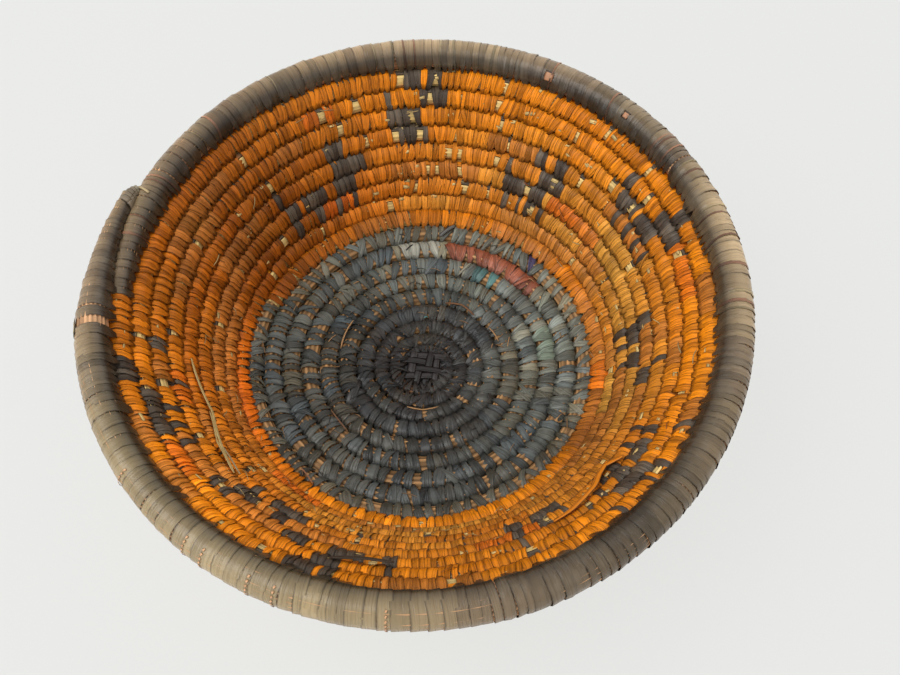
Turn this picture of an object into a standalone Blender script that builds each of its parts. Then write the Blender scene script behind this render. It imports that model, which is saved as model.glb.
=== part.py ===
"""Coiled basket bowl: a grass coil wound in a spiral from a plaited knot to a thick rim, and sewn with dyed strips."""

import math

import bmesh
import bpy
from mathutils import Vector

# Radii of the coil along its spiral, in metres
KNOT_RADIUS = 0.009
FIRST_COIL_RADIUS = 0.0025
BASE_COIL_RADIUS = 0.0034
WALL_COIL_RADIUS = 0.0032
RIM_COIL_RADIUS = 0.00485
RIM_TIP_RADIUS = 0.0018

# Gaps: between rows, between pieces that meet end to end, and round the coil inside a separate wrap
ROW_GAP = 0.00054
END_GAP = 0.0003
WRAP_CLEARANCE = 0.0003

# Thickness of a doubled leaf strip, height of the knot and rounding of its top
WRAP_THICKNESS = 0.0006
KNOT_HEIGHT = 0.0046
KNOT_ROUNDING = 0.0007

# Turns of the spiral, counted from the knot, and the turns over which its thickness changes
BASE_TURNS = 8.02
WALL_TURNS = 8.93
RIM_TURNS = 1.06
THICKENING_TURNS = 3
WALL_BLEND_TURNS = 1
RIM_SWELL_TURNS = 0.07
RIM_TAPER_TURNS = 0.08

# Direction in which the base coil ends and the wall coil starts
JOIN_ANGLE = math.radians(154)

# Slope of the side along its slant from the centre: a shallow dish, a corner and a wall that flares less and less
DISH_SLANT = 0.0642
DISH_ANGLE = math.radians(19.8)
CORNER_SLANT = 0.0163
WALL_ANGLE = math.radians(62.2)
FLARE_SLANT = 0.0658
FLARE_ANGLE = math.radians(18.3)

# Handmade unevenness: the rim is oval and sits a little off the base, which starts at one slant and is full at another,
# and the coil is thicker on the far and near sides by a share, from this turn on
RIM_OVAL = 0.004
RIM_SHIFT_X = 0.0008
RIM_SHIFT_Y = -0.0008
UNEVEN_FROM_SLANT = 0.046
UNEVEN_FULL_SLANT = 0.139
THICK_SIDE_SHARE = 0.05
THICK_SIDE_TURN = 5

# Share of the coil's diameter that is pressed flat where the bowl stands
FLAT_SHARE = 0.1

# Counts: points of the coil in a turn, steps along the side's profile, steps that seat a row, sides of the coil
STATIONS = 24
PROFILE_STEPS = 120
SEATING_STEPS = 4
COIL_SIDES = 6

# Loose ends that lie on the wall: radius, and places as rows counted down from the rim and degrees clockwise
STRAW_RADIUS = 0.0006
STRIP_RADIUS = 0.0008
LOOSE_ENDS = {
    "pale_straw_end": ((4.9, 326), (5.4, 309), (4.3, 292)),
    "dark_loose_strip": ((2.0, 263), (2.5, 252)),
    "orange_loose_strip": ((3.8, 207), (3.6, 215), (3.0, 222)),
}

# Dark wraps of the stepped figures in the wall: row counted down from the rim, and from and to, in degrees
# clockwise from where the base coil ends
FIGURES = {
    "figure_1": ((1, 69.7, 73.1), (1, 64.5, 67), (2, 67, 73.7), (3, 60.9, 67)),
    "figure_2": ((1, 141.5, 144.3), (2, 138, 147), (2, 125, 127.2), (3, 136, 142), (3, 126, 133.5)),
    "figure_3": ((2, 202, 209), (3, 203.4, 206.8), (3, 196, 200.8)),
    "figure_4": ((1, 264.5, 269), (2, 260.5, 266), (3, 257.5, 261)),
    "figure_5": ((1, 316, 321.4), (2, 303.2, 312.8), (3, 325, 328.4)),
    "figure_6": ((4, 41.2, 44.2), (5, 42, 50.3), (6, 40, 46.5), (6, 31, 37), (6, 23.6, 27.8), (7, 31.2, 34.4)),
    "figure_7": ((4, 106.2, 109.2), (4, 101, 103.9), (5, 103.7, 110.7), (5, 91.9, 94.7), (6, 93, 107.4)),
    "figure_8": ((4, 171.8, 175.1), (5, 158.6, 161), (5, 173.5, 178.9), (6, 167.2, 171.6), (6, 159.1, 164.2)),
    "figure_9": ((4, 226.6, 229.6), (5, 226.4, 230.8), (5, 220.8, 224.2), (5, 217, 219.8)),
    "figure_10": ((3, 287.5, 291.8), (4, 281.8, 288), (5, 273.2, 281), (3, 271, 273.8)),
}

# Coloured wraps in the base: row counted inward from the wall, and from and to, in degrees clockwise
BASE_WRAPS = {
    "purple_wrap": (1, 111.4, 116.6),
    "pale_grey_wrap": (2, 56.6, 74),
    "red_brown_wrap": (2, 81, 119),
    "teal_wrap": (3, 95.8, 109),
    "grey_green_wrap": (3, 141, 159),
}

# Colours and roughness
SLATE = ((0.045, 0.055, 0.062), 0.7)
ORANGE = ((0.55, 0.19, 0.035), 0.65)
TAUPE = ((0.16, 0.12, 0.085), 0.55)
BROWN_BLACK = ((0.04, 0.034, 0.032), 0.65)
STRAW = ((0.62, 0.46, 0.22), 0.6)
PURPLE = ((0.075, 0.055, 0.11), 0.65)
PALE_GREY = ((0.2, 0.21, 0.2), 0.65)
RED_BROWN = ((0.2, 0.055, 0.035), 0.65)
TEAL = ((0.04, 0.1, 0.1), 0.65)
GREY_GREEN = ((0.11, 0.14, 0.12), 0.65)
BASE_WRAP_LOOKS = {
    "purple_wrap": PURPLE,
    "pale_grey_wrap": PALE_GREY,
    "red_brown_wrap": RED_BROWN,
    "teal_wrap": TEAL,
    "grey_green_wrap": GREY_GREEN,
}
LOOSE_END_LOOKS = {"pale_straw_end": STRAW, "dark_loose_strip": BROWN_BLACK, "orange_loose_strip": ORANGE}

RIM_START = BASE_TURNS + WALL_TURNS
COIL_TURNS = RIM_START + RIM_TURNS
FLAT_DEPTH = FLAT_SHARE * 2 * BASE_COIL_RADIUS
FLAT_TO_CORNER = math.cos(math.pi / COIL_SIDES)


def clear_scene():
    for obj in list(bpy.data.objects):
        bpy.data.objects.remove(obj)


def between(low, high, share):
    return low + (high - low) * min(max(share, 0), 1)


def angle_at(turn):
    return JOIN_ANGLE - math.tau * (turn - BASE_TURNS)


def even_radius(turn):
    """Radius of the coil this many turns from the knot, on its thinner sides."""
    if turn < BASE_TURNS:
        return between(FIRST_COIL_RADIUS, BASE_COIL_RADIUS, turn / THICKENING_TURNS)
    if turn < RIM_START:
        return between(BASE_COIL_RADIUS, WALL_COIL_RADIUS, (turn - BASE_TURNS) / WALL_BLEND_TURNS)
    swollen = between(WALL_COIL_RADIUS, RIM_COIL_RADIUS, (turn - RIM_START) / RIM_SWELL_TURNS)
    return between(RIM_TIP_RADIUS, swollen, (COIL_TURNS - turn) / RIM_TAPER_TURNS)


def coil_radius(turn):
    """Radius of the coil this many turns from the knot."""
    thicker = THICK_SIDE_SHARE * math.sin(angle_at(turn)) ** 2 * between(0, 1, turn - THICK_SIDE_TURN)
    return even_radius(turn) * (1 + thicker)


def slope_at(slant):
    dish = DISH_ANGLE * min(slant / DISH_SLANT, 1) ** 2
    wall_slant = slant - DISH_SLANT - CORNER_SLANT
    flare = FLARE_ANGLE * max(wall_slant, 0) / FLARE_SLANT
    return between(dish, WALL_ANGLE, (slant - DISH_SLANT) / CORNER_SLANT) - flare


def side_at(slant):
    """Distance from the axis and height over the centre, this far up the slant."""
    step = slant / PROFILE_STEPS
    slopes = [slope_at((i + 0.5) * step) for i in range(PROFILE_STEPS)]
    return step * sum(map(math.cos, slopes)), step * sum(map(math.sin, slopes))


def side_point(slant, turn, lift=0):
    """Point on the side's middle surface, or lifted off it towards the inside of the bowl."""
    angle = angle_at(turn)
    distance, height = side_at(slant)
    slope = slope_at(slant)
    uneven = between(0, 1, (slant - UNEVEN_FROM_SLANT) / (UNEVEN_FULL_SLANT - UNEVEN_FROM_SLANT))
    distance -= uneven * RIM_OVAL * math.cos(2 * angle) + lift * math.sin(slope)
    x = distance * math.cos(angle) + uneven * RIM_SHIFT_X
    y = distance * math.sin(angle) + uneven * RIM_SHIFT_Y
    return Vector((x, y, height + lift * math.cos(slope) + BASE_COIL_RADIUS - FLAT_DEPTH))


def coil_centre(slant, turn):
    """Centre of the coil. The first turns are thinner than the others of the base, and keep their undersides level."""
    thinner = BASE_COIL_RADIUS - coil_radius(min(turn, THICKENING_TURNS))
    return side_point(slant, turn) - Vector((0, 0, thinner))


def spiral_slants():
    """Slant of each station, so far up the side that its turn lies against the one before it."""
    first_row = FIRST_COIL_RADIUS + coil_radius(1) + ROW_GAP
    slants = []
    for i in range(math.ceil(COIL_TURNS * STATIONS) + 2):
        turn = i / STATIONS
        if turn < 1:
            slants.append(KNOT_RADIUS + ROW_GAP + FIRST_COIL_RADIUS + turn * first_row)
            continue
        below = slants[i - STATIONS]
        row = coil_radius(turn - 1) + coil_radius(turn) + ROW_GAP
        rise = row
        for _ in range(SEATING_STEPS):
            rise *= row / (coil_centre(below + rise, turn) - coil_centre(below, turn - 1)).length
        slants.append(below + rise)
    return slants


SLANTS = spiral_slants()
CENTRES = [coil_centre(slant, i / STATIONS) for i, slant in enumerate(SLANTS)]


def coil_point(turn):
    """Centre of the coil, on the straight run between two stations."""
    i = int(turn * STATIONS)
    return CENTRES[i].lerp(CENTRES[i + 1], turn * STATIONS - i)


def run_radius(turn):
    """Radius of the coil, on the straight run between two stations."""
    i = int(turn * STATIONS)
    return between(coil_radius(i / STATIONS), coil_radius((i + 1) / STATIONS), turn * STATIONS - i)


def coil_tilt(turn):
    """Turns a corner of the coil's section towards the rows on both sides of it."""
    i = int(turn * STATIONS)
    slant = between(SLANTS[i], SLANTS[i + 1], turn * STATIONS - i)
    return slope_at(slant)


def turns_along(length, turn):
    """The part of a turn that this length takes up here."""
    return length / (math.tau * coil_point(turn).xy.length)


def stations_between(start, end):
    return [i / STATIONS for i in range(math.floor(start * STATIONS) + 1, math.ceil(end * STATIONS))]


def print_least_gap():
    """Prints the coil's least gap to itself, measured on points along its centre line."""
    steps = 4
    turns = [i / (STATIONS * steps) for i in range(int(COIL_TURNS * STATIONS * steps))]
    points = [coil_point(turn) for turn in turns]
    radii = [run_radius(turn) for turn in turns]
    least = math.inf
    for i, point in enumerate(points):
        for j in range(i + STATIONS * steps // 2, min(i + STATIONS * steps * 3 // 2, len(points))):
            least = min(least, (points[j] - point).length - radii[i] - radii[j])
    print(f"least gap of the coil to itself: {least * 1000:.2f} mm")


def row_turn(row, degrees):
    """Turn of a wall row, counted down from the rim, at an angle clockwise from the end of the base coil."""
    share = degrees / 360
    return BASE_TURNS + share + math.floor(WALL_TURNS - share) - (row - 1)


def base_row_turn(row, degrees):
    """Turn of a base row, counted inward from the wall."""
    return BASE_TURNS - row + degrees / 360


def material(name, look):
    colour, roughness = look
    made = bpy.data.materials.new(name)
    made.use_nodes = True
    shader = made.node_tree.nodes["Principled BSDF"]
    shader.inputs["Base Color"].default_value = (*colour, 1)
    shader.inputs["Roughness"].default_value = roughness
    shader.inputs["Metallic"].default_value = 0
    return made


def tube(name, points, radii, tilts=None, capped=True):
    """A six-sided tube along straight runs. Its sides keep one direction to the vertical, so nested tubes match."""
    curve = bpy.data.curves.new(name, "CURVE")
    curve.dimensions = "3D"
    curve.twist_mode = "Z_UP"
    curve.bevel_depth = WALL_COIL_RADIUS
    curve.bevel_resolution = COIL_SIDES // 2 - 2
    curve.use_fill_caps = capped
    spline = curve.splines.new("POLY")
    spline.points.add(len(points) - 1)
    for place, point, radius, tilt in zip(spline.points, points, radii, tilts or [0] * len(points)):
        place.co = (*point, 1)
        place.radius = radius / WALL_COIL_RADIUS
        place.tilt = tilt
    return bpy.data.objects.new(name, curve)


def as_mesh(obj):
    """The curve object's solid as a mesh object of the same name and place."""
    bpy.context.scene.collection.objects.link(obj)
    graph = bpy.context.evaluated_depsgraph_get()
    mesh = bpy.data.meshes.new_from_object(obj.evaluated_get(graph))
    shell = bmesh.new()
    shell.from_mesh(mesh)
    bmesh.ops.remove_doubles(shell, verts=shell.verts, dist=END_GAP / 100)
    shell.to_mesh(mesh)
    shell.free()
    name = obj.name
    place = obj.matrix_world.copy()
    bpy.data.objects.remove(obj)
    solid = bpy.data.objects.new(name, mesh)
    solid.matrix_world = place
    return solid


def add(parts, obj, look):
    parts.objects.link(obj)
    obj.data.materials.clear()
    obj.data.materials.append(material(obj.name, look))
    return obj


def seat_radius(turn):
    """Radius of the coil inside a separate wrap."""
    return run_radius(turn) - (WRAP_THICKNESS + WRAP_CLEARANCE) / FLAT_TO_CORNER


def coil_tube(name, turns, radii, capped=True):
    """A tube on the coil's own line, at these turns of it."""
    return tube(name, [coil_point(turn) for turn in turns], radii, [coil_tilt(turn) for turn in turns], capped)


def coil_section(name, start, end, spans):
    """One stretch of the coil, drawn in to its bare grass inside each separate wrap."""
    radii = {turn: run_radius(turn) for turn in [start, *stations_between(start, end), end]}
    for low, high in spans:
        edge = turns_along(END_GAP, low)
        radii[low - edge] = run_radius(low)
        radii[high + edge] = run_radius(high)
        for turn in [low, *stations_between(low, high), high]:
            radii[turn] = seat_radius(turn)
    turns = sorted(radii)
    return coil_tube(name, turns, [radii[turn] for turn in turns])


def wrap(name, low, high):
    """A sleeve of leaf strips sewn round the coil."""
    edge = turns_along(END_GAP, low)
    turns = [low + edge, *stations_between(low + edge, high - edge), high - edge]
    sleeve = as_mesh(coil_tube(name, turns, [run_radius(turn) for turn in turns], capped=False))
    wall = sleeve.modifiers.new("leaf", "SOLIDIFY")
    wall.thickness = WRAP_THICKNESS
    wall.offset = -1
    wall.use_even_offset = True
    return sleeve


def centre_knot(parts):
    """The plaited knot, whose edge follows the first turn of the coil."""
    last = 1 - turns_along(END_GAP, 0)
    turns = [0, *stations_between(0, last), last]
    outline = []
    for turn in turns:
        centre = coil_point(turn)
        outline.append(centre.xy.normalized() * (centre.xy.length - run_radius(turn) - ROW_GAP))
    outline.append(outline[-1].normalized() * KNOT_RADIUS)
    curve = bpy.data.curves.new("centre_knot", "CURVE")
    curve.dimensions = "2D"
    curve.fill_mode = "BOTH"
    curve.extrude = KNOT_HEIGHT / 2
    spline = curve.splines.new("POLY")
    spline.points.add(len(outline) - 1)
    for place, point in zip(spline.points, outline):
        place.co = (*point, 0, 1)
    spline.use_cyclic_u = True
    flat = bpy.data.objects.new("centre_knot", curve)
    flat.location.z = KNOT_HEIGHT / 2
    bpy.context.view_layer.update()
    knot = add(parts, as_mesh(flat), SLATE)
    rounding = knot.modifiers.new("rounding", "BEVEL")
    rounding.width = KNOT_ROUNDING
    rounding.segments = 1
    rounding.limit_method = "ANGLE"


def flatten(obj, cutters):
    """Cuts the underside flat at the height of zero, where the bowl stands."""
    bpy.ops.mesh.primitive_cube_add(size=1)
    cutter = bpy.context.object
    cutter.name = "standing_cut"
    reach = 2 * (DISH_SLANT + CORNER_SLANT)
    cutter.scale = (reach, reach, 2 * BASE_COIL_RADIUS)
    cutter.location.z = -BASE_COIL_RADIUS
    cutter.hide_render = True
    cutter.display_type = "WIRE"
    for collection in list(cutter.users_collection):
        collection.objects.unlink(cutter)
    cutters.objects.link(cutter)
    cut = obj.modifiers.new("standing_cut", "BOOLEAN")
    cut.operation = "DIFFERENCE"
    cut.object = cutter


def row_slant(i, rows_down):
    """Slant of the point so many rows down the wall from station i, which may lie between two rows."""
    above = i - int(rows_down) * STATIONS
    return between(SLANTS[above], SLANTS[above - STATIONS], rows_down % 1)


def wall_face_point(row, degrees, radius):
    """Centre of a strand that lies on the wall's inner face, level with the straight runs of the coil under it."""
    turn = row_turn(1, degrees)
    i = int(turn * STATIONS)
    ends = []
    for k in (i, i + 1):
        lift = coil_radius(k / STATIONS) + WRAP_CLEARANCE + radius
        ends.append(side_point(row_slant(k, row - 1), k / STATIONS, lift))
    return ends[0].lerp(ends[1], turn * STATIONS - i)


def loose_end(parts, name, places):
    """A loose straw or strip, lying on the rows of the wall."""
    radius = STRAW_RADIUS if name == "pale_straw_end" else STRIP_RADIUS
    points = []
    for (row, degrees), (next_row, next_degrees) in zip(places, places[1:]):
        count = max(2, round(abs(next_degrees - degrees) * STATIONS / 360 * 2))
        for i in range(count + 1):
            share = i / count
            points.append(wall_face_point(between(row, next_row, share), between(degrees, next_degrees, share), radius))
    kept = [point for i, point in enumerate(points) if i == 0 or (point - points[i - 1]).length > radius]
    add(parts, tube(name, kept, [radius] * len(kept)), LOOSE_END_LOOKS[name])


def main():
    clear_scene()
    parts = bpy.data.collections.new("coiled_basket_bowl")
    cutters = bpy.data.collections.new("cutters")
    for collection in (parts, cutters):
        bpy.context.scene.collection.children.link(collection)
    wall_spans = {}
    for figure, wraps in FIGURES.items():
        for number, (row, low, high) in enumerate(wraps, 1):
            wall_spans[f"{figure}_wrap_{number}"] = (row_turn(row, low), row_turn(row, high))
    base_spans = {
        name: (base_row_turn(row, low), base_row_turn(row, high)) for name, (row, low, high) in BASE_WRAPS.items()
    }
    wall_from = BASE_TURNS + turns_along(END_GAP, BASE_TURNS)
    rim_from = RIM_START + turns_along(END_GAP, RIM_START)
    centre_knot(parts)
    base = add(parts, as_mesh(coil_section("base_coil", 0, BASE_TURNS, base_spans.values())), SLATE)
    flatten(base, cutters)
    add(parts, coil_section("wall_coil", wall_from, RIM_START, wall_spans.values()), ORANGE)
    add(parts, coil_section("rim_coil", rim_from, COIL_TURNS, []), TAUPE)
    for name, (low, high) in wall_spans.items():
        add(parts, wrap(name, low, high), BROWN_BLACK)
    for name, (low, high) in base_spans.items():
        add(parts, wrap(name, low, high), BASE_WRAP_LOOKS[name])
    for name, places in LOOSE_ENDS.items():
        loose_end(parts, name, places)
    print_least_gap()


main()
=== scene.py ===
"""Coiled basket bowl, dressed over its solids: grass coils, sewn leaf strips, a plaited knot, loose ends."""

import math

import bmesh
import bpy
import numpy as np
from mathutils import Matrix, Vector


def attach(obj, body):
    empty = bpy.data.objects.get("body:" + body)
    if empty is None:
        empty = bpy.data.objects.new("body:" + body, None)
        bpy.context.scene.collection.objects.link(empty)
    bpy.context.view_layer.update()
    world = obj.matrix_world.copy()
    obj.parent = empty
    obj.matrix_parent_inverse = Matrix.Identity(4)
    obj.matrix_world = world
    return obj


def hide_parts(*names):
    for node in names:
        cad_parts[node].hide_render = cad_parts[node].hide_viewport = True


bl_info = {
    "name": "Coiled basket bowl",
    "version": (1, 0, 0),
    "blender": (4, 5, 0),
    "location": "View3D > Sidebar > Basket",
    "description": "Sews leaf strips round the spiral coil of a basket bowl",
    "category": "Object",
}

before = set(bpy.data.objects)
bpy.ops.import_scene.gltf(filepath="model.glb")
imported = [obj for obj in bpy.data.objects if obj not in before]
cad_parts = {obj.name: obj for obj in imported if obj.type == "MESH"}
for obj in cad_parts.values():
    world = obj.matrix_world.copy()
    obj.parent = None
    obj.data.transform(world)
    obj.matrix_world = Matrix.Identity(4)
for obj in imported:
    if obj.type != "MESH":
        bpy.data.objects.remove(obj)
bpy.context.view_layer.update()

# The spiral that the solids follow: radii of the coil, in metres
KNOT_RADIUS = 0.009
FIRST_COIL_RADIUS = 0.0025
BASE_COIL_RADIUS = 0.0034
WALL_COIL_RADIUS = 0.0032
RIM_COIL_RADIUS = 0.00485
RIM_TIP_RADIUS = 0.0018
ROW_GAP = 0.00054

# The thin start of the coil, which winds once round the knot
START_COIL_RADIUS = 0.001
START_SLANT = 0.0085
START_DROP = 0.0003
START_TURN = -0.98

# Turns, and the turns over which the coil's thickness changes
BASE_TURNS = 8.02
WALL_TURNS = 8.93
RIM_TURNS = 1.06
THICKENING_TURNS = 3
WALL_BLEND_TURNS = 1
RIM_SWELL_TURNS = 0.07
RIM_TAPER_TURNS = 0.08
JOIN_ANGLE = math.radians(154)

# Slope of the side along its slant
DISH_SLANT = 0.0642
DISH_ANGLE = math.radians(19.8)
CORNER_SLANT = 0.0163
WALL_ANGLE = math.radians(62.2)
FLARE_SLANT = 0.0658
FLARE_ANGLE = math.radians(18.3)

# Handmade unevenness
RIM_OVAL = 0.004
RIM_SHIFT_X = 0.0008
RIM_SHIFT_Y = -0.0008
UNEVEN_FROM_SLANT = 0.046
UNEVEN_FULL_SLANT = 0.139
THICK_SIDE_SHARE = 0.05
THICK_SIDE_TURN = 5
FLAT_SHARE = 0.1
STATIONS = 24
SEATING_STEPS = 4

RIM_START = BASE_TURNS + WALL_TURNS
COIL_TURNS = RIM_START + RIM_TURNS
COIL_LIFT = BASE_COIL_RADIUS - FLAT_SHARE * 2 * BASE_COIL_RADIUS
PROFILE_STEP = 0.00005
PROFILE_REACH = 0.17

# Dark wraps of the stepped figures: row counted down from the rim, and from and to, in degrees clockwise
FIGURES = {
    "figure_1": (
        (1, 69.7, 73.1), (1, 64.5, 67.4), (2, 67.4, 73.7), (2, 58.9, 60.6), (3, 59.6, 67.5),
        (4, 67, 68.1), (4, 64.8, 65.9), (4, 62.6, 63.7), (4, 60.4, 61.5),
    ),
    "figure_2": (
        (1, 141.6, 144.1), (2, 138.1, 147), (2, 125.5, 128), (3, 134.5, 142.1), (3, 125.9, 133.4),
        (4, 142.5, 144.2), (4, 138.2, 139.9), (4, 133.8, 135.6), (4, 127.7, 129.4),
    ),
    "figure_3": (
        (1, 204.3, 205.9), (1, 200, 201.7), (1, 190.9, 192.8), (2, 201.8, 209.1), (3, 202.6, 206.7),
        (3, 195.5, 200.8), (3, 192.7, 194.6), (4, 207.7, 208.5), (4, 203.6, 204.4), (4, 196.6, 197.5),
        (4, 192.9, 193.8), (3, 210, 211), (1, 213, 214),
    ),
    "figure_4": (
        (1, 265, 269.5), (1, 261, 263.5), (2, 261, 266), (3, 262, 265), (3, 257.5, 261), (3, 252, 255.5),
        (2, 252, 254),
    ),
    "figure_5": (
        (1, 315.4, 321.4), (2, 303, 313), (3, 324.7, 328.4), (3, 309.5, 311), (3, 305.5, 307),
        (3, 301, 302.5), (4, 317.2, 318.6),
    ),
    "figure_6": (
        (4, 40.9, 45.4), (5, 42, 50.3), (5, 22.1, 24.4), (6, 40, 46.5), (6, 29.5, 37.8), (6, 23.2, 27.8),
        (7, 44, 47.1), (7, 38.7, 40.8), (7, 31.2, 34.4), (7, 23.4, 26.8),
    ),
    "figure_7": (
        (4, 106.3, 109.2), (4, 101, 103.9), (5, 103.7, 110.7), (5, 91.9, 94.7), (6, 93, 107.4),
        (7, 106, 107.6), (7, 102.2, 103.7), (7, 97.9, 99.4), (7, 93.6, 95.1),
    ),
    "figure_8": (
        (4, 171.8, 175.1), (5, 158.1, 161), (5, 173.5, 178.9), (6, 167.2, 171.6), (6, 159.1, 164.9),
        (7, 168.7, 170.3), (7, 164.2, 165.8), (7, 158.5, 160.1),
    ),
    "figure_9": (
        (4, 226.6, 229.6), (5, 226.4, 230.8), (5, 220.8, 224.2), (5, 217, 219.8), (4, 217.4, 218.6),
        (4, 221.2, 222.6), (3, 228.4, 229.4),
    ),
    "figure_10": (
        (3, 287, 292), (4, 281.8, 288), (5, 273.2, 281), (4, 276, 279.5), (5, 285.5, 287), (3, 269, 274),
    ),
}

# Coloured wraps in the base: row counted inward from the wall, and from and to, in degrees clockwise
BASE_WRAPS = {
    "purple": (1, 111.4, 116.6),
    "pale_grey": (2, 56.6, 75.2),
    "red_brown": (2, 79.9, 122.6),
    "teal": (3, 95, 109),
    "grey_green": (3, 140.9, 159.8),
}

# Dyes of the leaf, as linear colours
ORANGE = (0.64, 0.17, 0.007)
BRIGHT_ORANGE = (0.9, 0.27, 0.006)
RED_ORANGE = (0.8, 0.125, 0.01)
OCHRE = (0.64, 0.3, 0.045)
TAN_ORANGE = (0.5, 0.17, 0.03)
# Burnt orange darkens the wall's upper left: partly a deeper dye, partly painted shade
BURNT_ORANGE = (0.5, 0.115, 0.008)
BROWN_BLACK = (0.066, 0.044, 0.028)
FADED_BLACK = (0.18, 0.135, 0.092)
CHARCOAL = (0.033, 0.03, 0.03)
SLATE = (0.062, 0.065, 0.06)
TEAL_GREY = (0.1, 0.122, 0.116)
WARM_GREY = (0.145, 0.135, 0.1)
TAUPE = (0.25, 0.178, 0.098)
DARK_TAUPE = (0.135, 0.092, 0.06)
OLIVE_BEIGE = (0.36, 0.275, 0.14)
PALE_STRAW = (0.78, 0.56, 0.22)
BRIGHT_STRAW = (1, 0.71, 0.27)
TAN_STRAW = (0.62, 0.35, 0.15)
PINK_STRAW = (0.5, 0.24, 0.13)
TAN_PINK = (0.85, 0.48, 0.25)
TIP_DYE = (0.27, 0.21, 0.14)
PALE_TIP = (0.46, 0.4, 0.27)
CREAM = (0.62, 0.47, 0.25)
PATCH_PINK = (0.56, 0.28, 0.15)
BROWN_STRAW = (0.25, 0.12, 0.055)

# How bright each part's strips are made all round, in even steps of a turn from the right by way of the far
# side. For the base this is the strength of its dye; for the wall and the rim it is partly the dye and partly
# painted light and shade, by which way each side faces.
WALL_TOP_DYE_AND_LIGHT = (1, 1, 1.1, 0.74, 1.16, 1.6, 0.78, 0.98, 1)
WALL_FOOT_DYE_AND_LIGHT = (1.2, 1.2, 1.42, 0.62, 1.48, 1.4, 1.06, 0.8, 1.2)
BASE_STRENGTH = (2.8, 2.5, 2.5, 1.75, 2, 1.9, 1.1, 1.3, 2.8)
RIM_DYE_AND_LIGHT = (2.9, 1.6, 2.1, 2.9, 1.35, 1.5, 1.6, 1, 1.35, 1.2, 0.42, 1.2, 2.9)

WRAP_DYES = {
    "purple": (0.065, 0.05, 0.125),
    "pale_grey": (0.38, 0.38, 0.31),
    "red_brown": (0.42, 0.12, 0.055),
    "teal": (0.09, 0.21, 0.2),
    "grey_green": (0.28, 0.36, 0.27),
}

# Shares of the wall's runs of strips that are dyed red-orange and tan
RED_SHARE = 0.045
TAN_SHARE = 0.16
# Up to this turn the strips of the base are finer
FINE_TURNS = 1.4
# Rough distance of the rim from the middle of the bowl
RIM_DISTANCE = 0.11
# Steps that the coil's directions are found with: in turns along it, and in metres off the side
RUN_STEP = 1 / 2000
FACING_STEP = 0.001

# The loop that a strip makes in the coil's section, in degrees from where the coil faces in towards the way
# up. It goes round the coil, and its two ends pierce the row below.
ROUND_DEGREES = (-44, -18, 8, 34, 62, 90, 118, 146, 172, 198, 224)
LOOP_POINTS = len(ROUND_DEGREES) + 3
OUTER_TIP = 11 / LOOP_POINTS
INNER_TIP = 13 / LOOP_POINTS
UPPER_GROOVE = 5.2 / LOOP_POINTS

# Cross-sections of a strip from edge to edge: how far each point stands off the coil, in coil radii
CREASES = (
    (0.035, 0.05, 0.055, 0.048, 0.03),
    (0.03, 0.045, 0.075, 0.05, 0.03),
    (0.055, 0.045, 0.036, 0.045, 0.05),
    (0.06, 0.05, 0.042, 0.04, 0.03),
)
CREASE_PLACES = (0, 0.15, 0.5, 0.84, 1)
ACROSS = len(CREASE_PLACES)
KIND_COUNT = 2 * len(CREASES)

# Width of a strip at each point of its loop, and where its ends lie in the row below: aside, and down
WALL_WIDTHS = (0.8, 0.93, 0.98, 1, 1, 0.95, 0.95, 1, 1, 0.96, 0.7, 0.36, 0.1, 0.38)
TOOTH_WIDTHS = (0.74, 0.96, 1, 1, 1, 0.95, 0.95, 1, 1, 1, 0.8, 0.4, 0.1, 0.12)
BASE_WIDTHS = (0.7, 0.88, 0.98, 1, 1, 0.92, 0.9, 1, 1, 1, 0.94, 0.5, 0.2, 0.45)
RIM_WIDTHS = (0.88, 1, 1, 1, 1, 0.98, 0.98, 1, 1, 1, 0.9, 0.4, 0.1, 0.36)
WALL_TIPS = ((0.7, 1.26), (0.78, 1.36), (0.84, 1.44), (0.76, 1.3))
TOOTH_TIPS = ((0.9, 1.58), (0.95, 1.72), (0.88, 1.52), (0.98, 1.8))
BASE_TIPS = ((0.6, 1.2), (0.72, 1.34), (0.56, 1.14), (0.66, 1.26))
RIM_TIPS = ((0.5, 1.12), (0.6, 1.24), (0.52, 1.14), (0.66, 1.3))

# Inputs of the tree that sews the strips on. The floats and the seed are settings, but for the wear depth.
SEWING_INPUTS = {
    "Strips": "Collection",
    "Leaf": "Material",
    "Lean": "Float",
    "Lean Spread": "Float",
    "Tilt": "Float",
    "Tilt Spread": "Float",
    "Width Spread": "Float",
    "Standing Height": "Float",
    "Wear Depth": "Float",
    "Seed": "Int",
}
# The underside's strips are pressed together over this depth, so that none lies in another's plane
WEAR_DEPTH = 0.001
# Height of a strip's cell over its width on the OFBake map
STRIP_ASPECT = 7
KEPT_ATTRIBUTES = {"dye", "strand", "leaf", "position", "material_index", "sharp_edge", "sharp_face"}
ATTRIBUTE_FIELDS = {"FLOAT": "value", "INT": "value", "FLOAT_VECTOR": "vector", "FLOAT_COLOR": "color"}

# Bundles of stems: name, first and last turn, stems, dye, flatness, spread of the dye, which also darkens the
# hollows between stems as painted shade, and the node
GRASS_PARTS = (
    ("knot_grass", START_TURN, 0, 10, BROWN_STRAW, 0.94, 0.8, "centre_knot"),
    ("base_grass", 0, BASE_TURNS, 11, TAN_STRAW, 0.96, 0.65, "base_coil"),
    ("wall_grass", BASE_TURNS, RIM_START, 13, BRIGHT_STRAW, 0.95, 0.25, "wall_coil"),
    ("rim_grass", RIM_START, COIL_TURNS, 20, TAN_PINK, 0.97, 0.5, "rim_coil"),
)
# Steps of a bundle's tube to a turn, its twist in radians to a turn, and the hollows between its stems
GRASS_STEPS = 150
GRASS_TWIST = 2.5
STEM_HOLLOW = 0.9
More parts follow.
